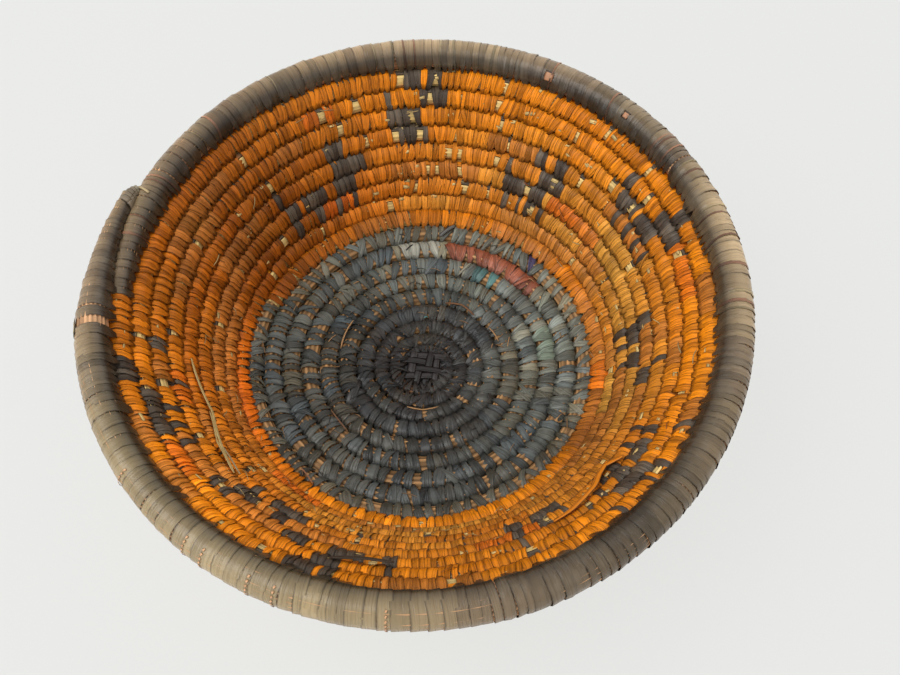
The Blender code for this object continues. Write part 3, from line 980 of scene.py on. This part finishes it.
class BASKET_PG_stage(bpy.types.PropertyGroup):
    """Camera, floor and light."""

    distance: length_setting("Camera Distance", "From the middle of the base", 0.3589)
    elevation: angle_setting("Elevation", "Height of the camera over the floor's plane", math.radians(59.6))
    roll: angle_setting("Roll", "Tilt of the picture", math.radians(-4.6))
    lens: number_setting("Lens", "Focal length in millimetres", 36)
    floor_size: length_setting("Floor", "Width of the floor", 6)
    floor_glow: number_setting(
        "Floor Glow", "How far the camera sees the floor plain white", 0.84, subtype="FACTOR"
    )
    key_power: number_setting("Key Light", "Power of the large lamp", 11)
    sky: number_setting("Sky", "Strength of the even light all round", 0.6)


def base_stitches(settings):
    rng = np.random.default_rng(settings.seed)
    pitch_range = (settings.pitch_low, settings.pitch_high)

    def gap_chance(turn):
        return 0.3 if turn > BASE_TURNS - 1 else 0.03 + 0.08 * min(1, turn / 4)

    turns, pitches, runs = laid_out(
        rng,
        (START_TURN, FINE_TURNS, (0.0013, 0.0021), (2, 7), lambda turn: 0.03, 0.001),
        (FINE_TURNS, BASE_TURNS - 0.004, pitch_range, (2, 7), gap_chance, 0.0018),
    )
    tone = rng.random(runs.max() + 1)
    warmths = rng.normal(0.03, 0.055, runs.max() + 1)
    heading = bearing(turns)
    dyes = []
    for i, turn in enumerate(turns):
        dye = mixed(settings.charcoal, settings.slate, np.clip(turn / 4 + (tone[runs[i]] - 0.5) * 0.9, 0, 1))
        outer = near(heading[i], 45, 130) * np.clip((turn - 1.8) / 2.5, 0, 1)
        dye = mixed(dye, settings.teal_grey, np.clip(outer * (0.1 + 0.9 * tone[runs[i]]), 0, 1))
        dye = mixed(dye, settings.warm_grey, np.clip(outer * rng.uniform(-0.4, 0.85), 0, 1))
        if turn > BASE_TURNS - 1:
            dye = mixed(dye, settings.warm_grey, 0.7 * rng.random()) * 0.8
        lit = 0.85 + (strength(heading[i], BASE_STRENGTH) - 0.85) * np.clip((turn - 1.5) / 5, 0, 1)
        warmth = rng.normal(0, 0.04) + warmths[runs[i]]
        dyes.append(dye * lit * rng.uniform(0.42, 1.46) * (1 + warmth, 1.03, 1 - warmth * 1.3))
    last, fine = turns > BASE_TURNS - 1, turns < FINE_TURNS
    lean = rng.normal(0, 0.09, len(turns)) * (1 + 1.5 * last + 2.5 * fine) + (tone[runs] - 0.5) * 0.4
    spans = pitches * rng.uniform(0.95, 1.25, len(turns)) * (1 - 0.2 * last) * np.where(turns < 3, 1.25, 1)
    return crossed(stitch_table(turns, spans, lean, dyes, rng), 0.12, 0.5, rng)


def wall_stitches(settings):
    rng = np.random.default_rng(settings.seed)
    pitch_range = (settings.pitch_low, settings.pitch_high)

    def window_chance(turn):
        return 0.022 + 0.075 * near(bearing(turn), 70, 100) * np.clip((turn - BASE_TURNS) / 4, 0.3, 1)

    turns, pitches, runs = laid_out(
        rng,
        (BASE_TURNS, BASE_TURNS + 1, (0.0027, 0.0033), (4, 13), lambda turn: 0.01, 0.0015),
        (BASE_TURNS + 1, RIM_START, pitch_range, (4, 13), window_chance, 0.0024),
    )
    count = runs.max() + 1
    tone, tint = rng.random(count), rng.random(count)
    heading = bearing(turns)
    rows_down = RIM_START - turns
    first_row = turns < BASE_TURNS + 1
    dyes = []
    for i, run in enumerate(runs):
        low = 0.1 if first_row[i] else np.clip((rows_down[i] - 1.5) / 5, 0, 1)
        golden = np.maximum(near(heading[i], 5, 110), near(heading[i], 265, 60) * 0.5)
        dye = mixed(settings.orange, settings.bright, np.clip(0.95 - low + (tone[run] - 0.5) * 0.8, 0, 1))
        dye = mixed(dye, settings.ochre, np.clip(low * (0.2 + golden) * (0.3 + tone[run]), 0, 1))
        # The upper left turns burnt orange: a deeper dye there, and painted shade on the side turned from the
        # light
        dye = mixed(dye, BURNT_ORANGE, near(heading[i], 150, 75) * 0.8)
        if first_row[i]:
            dye = mixed(dye, RED_ORANGE, near(heading[i], 195, 45) * 0.6)
        if tint[run] < RED_SHARE:
            dye = mixed(dye, RED_ORANGE, 0.5)
        elif tint[run] > 1 - TAN_SHARE:
            dye = mixed(dye, TAN_ORANGE, 0.75)
        # The dye is made brighter or darker by bearing: partly the dye, partly painted light and shade. The
        # first row is also darkened towards the far side.
        top, foot = strength(heading[i], WALL_TOP_DYE_AND_LIGHT), strength(heading[i], WALL_FOOT_DYE_AND_LIGHT)
        lit = top + (foot - top) * np.clip((rows_down[i] - 2.5) / 4, 0, 1)
        if first_row[i]:
            lit *= 1 - 0.3 * near(heading[i], 90, 90)
        dyes.append(dye * lit * rng.uniform(0.7, 1.3))
    lean = -0.1 + 0.2 * near(heading, 185, 70) * np.clip((rows_down - 3) / 4, 0, 1)
    lean = lean + (tint[runs] - 0.5) * 0.25 + rng.normal(0, 0.06, len(turns))
    spans = pitches * rng.uniform(1.12, 1.42, len(turns)) * (1 - 0.12 * first_row)
    return crossed(stitch_table(turns, spans, lean, dyes, rng), 0.03, 0.3, rng)


def rim_stitches(settings, rng):
    pitch_range = (settings.pitch_low, settings.pitch_high)
    stretch = (RIM_START, COIL_TURNS - 0.002, pitch_range, (3, 9), lambda turn: 0.05, 0.0008)
    turns, pitches, runs = laid_out(rng, stretch)
    tone = rng.random(runs.max() + 1)
    heading = bearing(turns)
    dyes = []
    for i in range(len(turns)):
        worn = np.clip(near(heading[i], 232, 42) * 2, 0, 1)
        dye = mixed(settings.taupe, settings.dark_taupe, np.clip((tone[runs[i]] - 0.3) * 0.9, 0, 1))
        dye = mixed(dye, settings.olive_beige, worn * 0.6)
        dye = mixed(dye, BROWN_STRAW, near(heading[i], 140, 60) * 0.3 * rng.random())
        varied = 0.2 + 0.22 * near(heading[i], 55, 80)
        # Brighter or darker by bearing: partly the dye, partly painted light and shade
        dyes.append(dye * strength(heading[i], RIM_DYE_AND_LIGHT) * rng.uniform(1 - varied, 1 + varied))
    lean = rng.normal(0, 0.025, len(turns))
    stitches = stitch_table(turns, pitches * 1.12, lean, dyes, rng)
    plain_to_see = np.maximum(near(heading, 335, 75), near(heading, 55, 95) * 0.7)
    bulging = plain_to_see > rng.random(len(turns)) * 0.6
    stitches["kind"] = stitches["kind"] % len(CREASES) + len(CREASES) * bulging
    slivers = chosen(stitches, rng.random(len(turns)) < 0.3 * (near(heading, 80, 95) > 0))
    count = len(slivers["turn"])
    slivers["turn"] = slivers["turn"] + 0.45 * slivers["span"] / (math.tau * RIM_DISTANCE)
    slivers["span"] = rng.uniform(0.0004, 0.0012, count)
    slivers["reach"] = slivers["reach"] * rng.uniform(1.02, 1.045, count)
    slivers["lean"] = slivers["lean"] + rng.normal(0, 0.06, count)
    pale = rng.random((count, 1)) < 0.65
    slivers["dye"] = np.where(pale, CREAM, PINK_STRAW) * rng.uniform(0.6, 1.4, (count, 1))
    stitches = together(stitches, chosen(slivers, slivers["turn"] < COIL_TURNS - RIM_TAPER_TURNS))
    return chosen(stitches, near(bearing(stitches["turn"]), BARE_BEARING, 1.3) == 0)


def grass_mesh(name, start, end, stems, dye, seed, share, spread):
    """The bundle of stems that the strips are sewn round, as one ribbed and twisted tube."""
    rng = np.random.default_rng(seed)
    steps = int((end - start) * GRASS_STEPS)
    turns = np.linspace(start, end, steps)
    centre, _, facing, up = coil_frame(turns)
    sides = stems * 2
    radius = wrapped_radius(turns)[:, None] * np.where(np.arange(sides) % 2 == 0, 1.0, STEM_HOLLOW)
    radius = radius * (1 + rng.normal(0, 0.006, radius.shape))
    swing = (np.arange(sides) * math.tau / sides + (turns - start)[:, None] * GRASS_TWIST)[..., None]
    points = centre[:, None] + radius[..., None] * outward(swing, share * facing[:, None], up[:, None])
    points[..., 2] = np.maximum(points[..., 2], GRASS_FLOOR)
    columns = math.ceil(math.sqrt(steps / COLUMN_STEPS))
    part = math.ceil(steps / columns)

    def cell(ring, down, across):
        return (ring // part + across / sides * 0.96) / columns, (down - ring + ring % part) / part * 0.99

    maps = {"leaf": lambda _, down, across: (across / sides, down / MAP_STEPS), "OFBake": cell}
    mesh = skin(name, points, maps)
    dyes = np.asarray(dye) * np.repeat(rng.uniform(1 - spread, 1 + spread / 2, (stems, 1)), 2, axis=0)
    # Every second point lies in a hollow between stems: darkening it there is painted shade
    dyes[1::2] *= 1 - spread
    store_dyes(mesh, np.tile(dyes, (steps, 1)))
    return mesh


def ribbon(points, ups, width, thickness, dyes, widths=1, curl=0.0):
    """A strip along points, with its face towards the ups. Its edges curl down by the curl."""
    points, ups = np.asarray(points, float), np.asarray(ups, float)
    count, sides = len(points), len(RIBBON_SECTION)
    run = unit(np.concatenate([points[1:], points[-1:]]) - np.concatenate([points[:1], points[:-1]]))
    ups = unit(ups - run * np.sum(ups * run, axis=1, keepdims=True))
    half = np.broadcast_to(width / 2 * np.asarray(widths, float), count)
    across, lift = np.array(RIBBON_SECTION).T
    rings = points[:, None] + np.cross(run, ups)[:, None] * (half[:, None] * across)[..., None]
    rings = rings + ups[:, None] * (lift * thickness / 2 - curl * across**2)[:, None]
    mesh = skin("ribbon", rings, {"leaf": lambda _, down, side: (side / sides, 0.48 + 0.2 * down / count)})
    store_dyes(mesh, np.repeat(np.broadcast_to(dyes, (count, 3)), sides, axis=0))
    store(mesh, "strand", "FLOAT", np.full(count * sides, RIBBON_STRAND))
    return mesh


def band(turn, degrees, reach, width, thickness, dye, slants=0, aside=0):
    """A ribbon round the coil at a turn, over these degrees of its section."""
    centre, along, facing, up = coil_frame(turn)
    ups = outward(np.radians(degrees)[:, None], facing, up)
    points = centre + aside + ups * reach + np.outer(slants, along)
    return ribbon(points, ups, width, thickness, dye)


def joined(meshes):
    """One mesh made of several."""
    shell = bmesh.new()
    for mesh in meshes:
        shell.from_mesh(mesh)
        bpy.data.meshes.remove(mesh)
    whole = bpy.data.meshes.new("joined")
    shell.to_mesh(whole)
    shell.free()
    return whole


def wall_place(row, degrees, lift):
    """Point over the wall's inner face at a row, which may lie between two rows, and the way it faces."""
    turn = row_turn(1, degrees)
    above = turn - math.floor(row - 1)
    slant = slant_of(above) + (slant_of(above - 1) - slant_of(above)) * ((row - 1) % 1)
    point = side_point(slant, turn, wrapped_radius(turn) + lift)
    return point, unit(point - side_point(slant, turn))


def over_rows(places, width, thickness, dye, arch, lift=0.0004):
    """A ribbon over the rows, from place to place, each given as row from the rim and degrees clockwise."""
    shares = np.linspace(0, 1, 24)
    rows, degrees = (np.interp(shares, np.linspace(0, 1, len(places)), column) for column in zip(*places))
    heights = lift + thickness / 2 + arch * np.sin(math.pi * shares)
    points, ups = zip(*(wall_place(*place) for place in zip(rows, degrees, heights)))
    widths = np.interp(shares, (0, 0.12, 0.85, 1), (0.5, 1, 1, 0.35))
    return ribbon(points, ups, width, thickness, dye, widths)


def straw_chips(rng):
    """Bits of bright straw that show between the wall's strips."""
    chips = []
    for turn in rng.uniform(BASE_TURNS + 0.2, RIM_START - 0.02, CHIP_COUNT):
        if near(bearing(turn), 160, 70) > rng.random() * 1.3:
            continue
        centre, along, facing, up = coil_frame(turn)
        reach = wrapped_radius(turn) * rng.uniform(0.98, 1.05)
        swing = math.radians(rng.uniform(-38, 45))
        out = outward(swing, facing, up)
        length = rng.uniform(0.0012, 0.003)
        slant = outward(swing, up, -facing) * rng.uniform(-0.3, 0.3)
        points = [centre + out * reach + (along + slant) * length * share for share in (-0.5, 0, 0.5)]
        dye = np.array(BRIGHT_STRAW) * rng.uniform(0.7, 1.1)
        chips.append(ribbon(points, [out] * 3, rng.uniform(0.0009, 0.0018), 0.0002, dye))
    return chips


def tip_wraps(rng):
    """Strips round the rim's tapered end and its start together, a tie, and a strip over the bare place."""
    end, _, end_facing, end_up = coil_frame(COIL_TURNS)
    apart = unit(end - coil_frame(COIL_TURNS - 1)[0])
    degrees = np.arange(0, 361, 15)
    slants = np.sin(np.radians(degrees)) * 0.0009
    meshes = []
    for past, thick, width in TIP_WRAPS:
        turn = COIL_TURNS + past - 1
        _, _, facing, up = coil_frame(turn)
        beside = (apart @ end_facing) * facing + (apart @ end_up) * up
        aside = beside * (wrapped_radius(turn) + thick * 0.7)
        dye = np.array(TIP_DYE if past < 0.004 else PALE_TIP) * rng.uniform(0.85, 1.15)
        meshes.append(band(turn, degrees, thick, width, 0.0004, dye, slants, aside))
    turn = COIL_TURNS - 0.991
    degrees = np.arange(28, 160, 6)
    slants = (np.radians(degrees) - 1.7) * 0.002
    meshes.append(band(turn, degrees, wrapped_radius(turn) * 1.09, 0.0011, 0.0003, CREAM, slants))
    turn = rim_turn(BARE_BEARING)
    reach = wrapped_radius(turn) + 0.0003
    return [*meshes, band(turn, np.arange(96, 231, 6), reach, 0.0062, 0.0004, OLIVE_BEIGE)]


def rim_dashes(rng):
    """Short straw dashes in lines across the near rim, and two places on its inner side where stems show."""
    meshes = []
    steps = np.array((0, 4, 8))
    for heading in DASH_BEARINGS:
        turn = rim_turn(heading)
        reach = wrapped_radius(turn) * 1.06
        for swing in range(62, 190, 15):
            dye = np.array(TAN_PINK) * rng.uniform(0.8, 1.1)
            meshes.append(band(turn, swing + steps, reach, 0.0007, 0.0002, dye, steps * 0.00004))
    for heading, low, high, width in RIM_PATCHES:
        turn = rim_turn(heading)
        for share, margin, dye in ((1.04, 6, BROWN_BLACK), (1.055, 0, PATCH_PINK)):
            degrees = np.arange(low - margin, high + margin + 1, 4)
            reach = wrapped_radius(turn) * share
            meshes.append(band(turn, degrees, reach, width + 0.0001 * margin, 0.0003, dye))
    return meshes


class BASKET_OT_grass(bpy.types.Operator):
    """Lays the bundle of grass stems along the whole spiral, and the dark strip that is carried on it"""

    bl_idname = "basket.grass"
    bl_label = "Grass Coil"

    def execute(self, context):
        material = grass_material("dry grass")
        for seed, (name, start, end, stems, dye, share, spread, node) in enumerate(GRASS_PARTS, 1):
            mesh = grass_mesh(name, start, end, stems, dye, seed, share, spread)
            add_piece(name, mesh, [node], material)
        turns = np.arange(BASE_TURNS + 0.01, RIM_START - 0.01, 1 / CARRIED_STEPS)
        centre, _, facing, up = coil_frame(turns)
        ups = outward(CARRIED_SIDE, facing, up)
        shown = np.random.default_rng(CARRIED_SEED).random(len(turns) // CARRIED_RUN + 1) < CARRIED_DARK
        dark = mixed(BROWN_BLACK, FADED_BLACK, 0.6)
        dyes = np.where(np.repeat(shown, CARRIED_RUN)[: len(turns), None], dark, BRIGHT_ORANGE)
        points = centre + ups * wrapped_radius(turns)[:, None] * 0.955
        mesh = ribbon(points, ups, 0.003, 0.0002, dyes, curl=0.00036)
        leaf = leaf_material("carried leaf", 0.5, 0.3, TAUPE, 0.1)
        add_piece("carried_strip", mesh, ["wall_coil"], leaf)
        return {"FINISHED"}


class BASKET_OT_base(bpy.types.Operator):
    """Sews the slate strips of the base and its few coloured wraps"""

    bl_idname = "basket.base"
    bl_label = "Base Strips"

    def execute(self, context):
        settings = context.scene.basket_base
        stitches = base_stitches(settings)
        leaf = leaf_material("slate leaf", 0.36, 0.5, (0.2, 0.19, 0.15), 0.13)
        kinds = leaf_kinds("base_leaf", BASE_TIPS, BASE_WIDTHS, (1.2, 1.2), 3)
        small = leaf_kinds("knot_leaf", TOOTH_TIPS, BASE_WIDTHS, (1.2, 1.2), 4)
        taken = stitches["turn"] < 0
        start = chosen(stitches, taken)
        start["span"] = start["span"] * 0.8
        sew("knot_stitches", start, small, leaf, settings, ["centre_knot"])
        for name, (row, low, high) in BASE_WRAPS.items():
            mask = in_spans(stitches["turn"], [(base_row_turn(row, low), base_row_turn(row, high))]) & ~taken
            taken |= mask
            part = chosen(stitches, mask)
            part["dye"] = np.asarray(WRAP_DYES[name]) * (0.7 + 0.6 * part["strand"][:, None])
            sew(f"{name}_strips", part, kinds, leaf, settings, [f"{name}_wrap"])
        sew("base_strips", chosen(stitches, ~taken), kinds, leaf, settings, ["base_coil"])
        return {"FINISHED"}


class BASKET_OT_wall(bpy.types.Operator):
    """Sews the orange strips of the wall and the dark strips of its figures"""

    bl_idname = "basket.wall"
    bl_label = "Wall Strips"

    def execute(self, context):
        settings = context.scene.basket_wall
        stitches = wall_stitches(settings)
        turns = stitches["turn"]
        leaf = leaf_material("orange leaf", 0.38, 0.2, (0.7, 0.33, 0.05), 0.08)
        dark_leaf = leaf_material("dark leaf", 0.42, 0.4, (0.2, 0.17, 0.13), 0.12)
        kinds = leaf_kinds("wall_leaf", WALL_TIPS, WALL_WIDTHS, (1, 1), 5)
        teeth = leaf_kinds("tooth_leaf", TOOTH_TIPS, TOOTH_WIDTHS, (1, 1), 6)
        taken = np.zeros(len(turns), bool)
        for figure, wraps in FIGURES.items():
            spans = [(row_turn(row, low), row_turn(row, high)) for row, low, high in wraps]
            mask = in_spans(turns, spans) & ~taken
            taken |= mask
            part = chosen(stitches, mask)
            part["dye"] = mixed(settings.dark, FADED_BLACK, (0.05 + 0.9 * part["strand"] ** 2)[:, None])
            nodes = sorted(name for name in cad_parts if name.startswith(f"{figure}_wrap"))
            sew(f"{figure}_strips", part, kinds, dark_leaf, settings, nodes)
        bounds = (BASE_TURNS, BASE_TURNS + 1, BASE_TURNS + 4, BASE_TURNS + 6.6, RIM_START)
        names = ("first_row_strips", "lower_wall_strips", "middle_wall_strips", "upper_wall_strips")
        for name, low, high in zip(names, bounds, bounds[1:]):
            part = chosen(stitches, (turns >= low) & (turns < high) & ~taken)
            used = teeth if low == BASE_TURNS else kinds
            sew(name, part, used, leaf, settings, ["wall_coil"])
        return {"FINISHED"}


class BASKET_OT_rim(bpy.types.Operator):
    """Wraps the thick rim and ties its tapered end"""

    bl_idname = "basket.rim"
    bl_label = "Rim Strips"

    def execute(self, context):
        settings = context.scene.basket_rim
        rng = np.random.default_rng(settings.seed)
        stitches = rim_stitches(settings, rng)
        leaf = leaf_material("taupe leaf", 0.3, 0.5, (0.36, 0.31, 0.22), 0.16, 0.4, 1.0)
        kinds = leaf_kinds("rim_leaf", RIM_TIPS, RIM_WIDTHS, (0.4, 1.1), 7)
        sew("rim_strips", stitches, kinds, leaf, settings, ["rim_coil"])
        leaf = leaf_material("straw leaf", 0.45, 0.4, TAN_STRAW, 0.05, 0.3)
        add_piece("rim_dashes", joined(rim_dashes(rng)), ["rim_coil"], leaf)
        leaf = leaf_material("tie leaf", 0.35, 0.4, TAUPE, 0.05, 0.6)
        add_piece("rim_end_ties", joined(tip_wraps(rng)), ["rim_coil"], leaf)
        return {"FINISHED"}


class BASKET_OT_knot(bpy.types.Operator):
    """Plaits the flat knot that the coil starts from"""

    bl_idname = "basket.knot"
    bl_label = "Centre Knot"

    def execute(self, context):
        rng = np.random.default_rng(KNOT_SEED)
        one = np.array([math.cos(KNOT_TURNED), math.sin(KNOT_TURNED), 0])
        other = np.array([-math.sin(KNOT_TURNED), math.cos(KNOT_TURNED), 0])
        over = np.array(KNOT_OVER)
        meshes = []
        for side, level in KNOT_FACES:
            for run, cross, offsets, stops, signs, long in (
                (one, other, KNOT_ROWS, KNOT_COLUMNS, over, 1.14),
                (other, one, KNOT_COLUMNS, KNOT_ROWS[::-1], -over.T[:, ::-1], 0.95),
            ):
                for offset, sign in zip(offsets, signs):
                    reach = math.sqrt(KNOT_REACH**2 - offset**2) * long
                    steps = np.linspace(-reach, reach, 41)
                    lift = np.interp(steps, (-reach, *stops, reach), (-3, *sign, -3))
                    lift = np.convolve(np.pad(lift, 2, mode="edge"), np.ones(5) / 5, mode="valid") * KNOT_RISE
                    skew = rng.uniform(-0.12, 0.12)
                    points = run * steps[:, None] + cross * (offset + steps * skew)[:, None]
                    points[:, 2] = level + side * lift
                    dye = np.array(CHARCOAL) * rng.uniform(0.85, 1.7)
                    ups = np.tile((0, 0, side), (len(steps), 1))
                    meshes.append(ribbon(points, ups, rng.uniform(0.0027, 0.0036), 0.0004, dye))
        disc = bmesh.new()
        sizes = {"radius1": KNOT_DISC_RADIUS, "radius2": KNOT_DISC_RADIUS, "depth": KNOT_DISC_DEPTH}
        bmesh.ops.create_cone(disc, cap_ends=True, segments=48, **sizes)
        bmesh.ops.translate(disc, verts=disc.verts, vec=(0, 0, KNOT_DISC_HEIGHT))
        middle = bpy.data.meshes.new("disc")
        disc.to_mesh(middle)
        disc.free()
        store_dyes(middle, np.tile(CHARCOAL, (len(middle.vertices), 1)))
        leaf = leaf_material("knot leaf", 0.5, 0.35, (0.1, 0.09, 0.08), 0.05)
        add_piece("knot_strips", joined([*meshes, middle]), ["centre_knot"], leaf)
        return {"FINISHED"}


class BASKET_OT_loose_ends(bpy.types.Operator):
    """Lays the loose straw, the loose strips and the short ends that stick out between the stitches"""

    bl_idname = "basket.loose_ends"
    bl_label = "Loose Ends"

    def execute(self, context):
        leaf = leaf_material("loose leaf", 0.45, 0.4, TAN_STRAW, 0.05)
        for name, (slot, node, dye, width, thickness, arch, places) in LOOSE_ENDS.items():
            add_piece(name, over_rows(places, width, thickness, dye, arch), [node], leaf)
        rng = np.random.default_rng(ENDS_SEED)
        meshes = [over_rows(places, width, 0.0004, dye, 0.0006) for places, width, dye in SHORT_ENDS]
        for _ in range(HAIR_COUNT):
            row = rng.uniform(1.2, 15.5)
            degrees = rng.uniform(0, 360)
            length = rng.uniform(0.002, 0.006)
            rise = rng.uniform(-0.5, 0.5)
            around = math.degrees(length / (RIM_DISTANCE - 0.005 * row))
            in_base = row >= BASE_ROW
            dye = TAN_STRAW if in_base else PALE_STRAW
            if rng.random() < 0.45:
                dye = SLATE if in_base else ORANGE
            places = ((row, degrees), (row + rise, degrees + around))
            width = rng.uniform(0.0002, 0.0005)
            meshes.append(over_rows(places, width, 0.0002, np.array(dye) * rng.uniform(0.6, 1), 0.0007, 0))
        add_piece("short_ends", joined(meshes + straw_chips(rng)), [], leaf)
        return {"FINISHED"}


def camera_place(settings):
    """World matrix of the camera, whose picture has the middle of the base at the photograph's place."""
    back = Vector((0, -math.cos(settings.elevation), math.sin(settings.elevation)))
    right = Vector((1, 0, 0))
    up = back.cross(right)
    cosine, sine = math.cos(settings.roll), math.sin(settings.roll)
    looking = Matrix((cosine * right + sine * up, cosine * up - sine * right, back))
    pixels = settings.lens / SENSOR_WIDTH * PICTURE_SIZE[0]
    x, y = BASE_MIDDLE[0] - PICTURE_SIZE[0] / 2, BASE_MIDDLE[1] - PICTURE_SIZE[1] / 2
    aim = Vector((x / pixels, -y / pixels, -1)).normalized()
    turning = Vector((0, 0, -1)).rotation_difference(aim).to_matrix()
    place = (turning @ looking).transposed().to_4x4()
    place.translation = back * settings.distance + Vector((0, 0, COIL_LIFT))
    return place


class BASKET_OT_stage(bpy.types.Operator):
    """Sets the camera, the pale floor and the soft light"""

    bl_idname = "basket.stage"
    bl_label = "Stage"

    def execute(self, context):
        settings = context.scene.basket_stage
        scene = context.scene
        scene.view_settings.view_transform = "Standard"
        camera = bpy.data.cameras.new("camera")
        camera.lens = settings.lens
        camera.sensor_width = SENSOR_WIDTH
        camera.clip_start = 0.01
        viewer = bpy.data.objects.new("camera", camera)
        viewer.matrix_world = camera_place(settings)
        scene.collection.objects.link(viewer)
        scene.camera = viewer
        bpy.ops.mesh.primitive_plane_add(size=settings.floor_size)
        floor = context.object
        floor.name = "floor"
        material, tree, shader = shader_of("floor")
        plug(shader.inputs["Base Color"], (0.8, 0.8, 0.79, 1))
        plug(shader.inputs["Roughness"], 0.9)
        plug(shader.inputs["Specular IOR Level"], 0.1)
        seen = tree.node("ShaderNodeLightPath", output="Is Camera Ray")
        glow = tree.node("ShaderNodeEmission", {"Color": (0.82, 0.83, 0.81, 1), "Strength": 1.0})
        values = {0: seen * settings.floor_glow, 1: Wire(shader.outputs[0]), 2: glow}
        surface = tree.node("ShaderNodeMixShader", values)
        plug(material.node_tree.nodes["Material Output"].inputs["Surface"], surface)
        floor.data.materials.append(material)
        for name, share, size, place in LAMPS:
            lamp = bpy.data.lights.new(name, "AREA")
            lamp.energy = settings.key_power * share
            lamp.size = size
            lit = bpy.data.objects.new(name, lamp)
            lit.location = place
            lit.rotation_euler = Vector(place).to_track_quat("Z", "Y").to_euler()
            scene.collection.objects.link(lit)
        world = bpy.data.worlds.new("studio")
        world.use_nodes = True
        background = world.node_tree.nodes["Background"]
        plug(background.inputs["Color"], (1, 1, 1, 1))
        seen = Tree(world.node_tree).node("ShaderNodeLightPath", output="Is Camera Ray")
        plug(background.inputs["Strength"], settings.sky + seen * (BACKGROUND_STRENGTH - settings.sky))
        scene.world = world
        return {"FINISHED"}


class BASKET_PT_panel(bpy.types.Panel):
    """Lists the pieces and their settings"""

    bl_label = "Basket Bowl"
    bl_idname = "BASKET_PT_panel"
    bl_space_type = "VIEW_3D"
    bl_region_type = "UI"
    bl_category = "Basket"

    def draw(self, context):
        for operator in OPERATORS:
            self.layout.operator(operator.bl_idname)
        for name, group in SETTINGS.items():
            box = self.layout.box()
            for prop in group.__annotations__:
                box.prop(getattr(context.scene, name), prop)


SETTINGS = {
    "basket_base": BASKET_PG_base,
    "basket_wall": BASKET_PG_wall,
    "basket_rim": BASKET_PG_rim,
    "basket_stage": BASKET_PG_stage,
}
OPERATORS = (
    BASKET_OT_grass,
    BASKET_OT_base,
    BASKET_OT_wall,
    BASKET_OT_rim,
    BASKET_OT_knot,
    BASKET_OT_loose_ends,
    BASKET_OT_stage,
)
CLASSES = (*SETTINGS.values(), *OPERATORS, BASKET_PT_panel)


def register():
    for cls in CLASSES:
        bpy.utils.register_class(cls)
    for name, group in SETTINGS.items():
        setattr(bpy.types.Scene, name, bpy.props.PointerProperty(type=group))


def unregister():
    for name in SETTINGS:
        delattr(bpy.types.Scene, name)
    for cls in reversed(CLASSES):
        bpy.utils.unregister_class(cls)


def main():
    register()
    for operator in OPERATORS:
        group, name = operator.bl_idname.split(".")
        getattr(getattr(bpy.ops, group), name)()


if __name__ == "__main__":
    main()
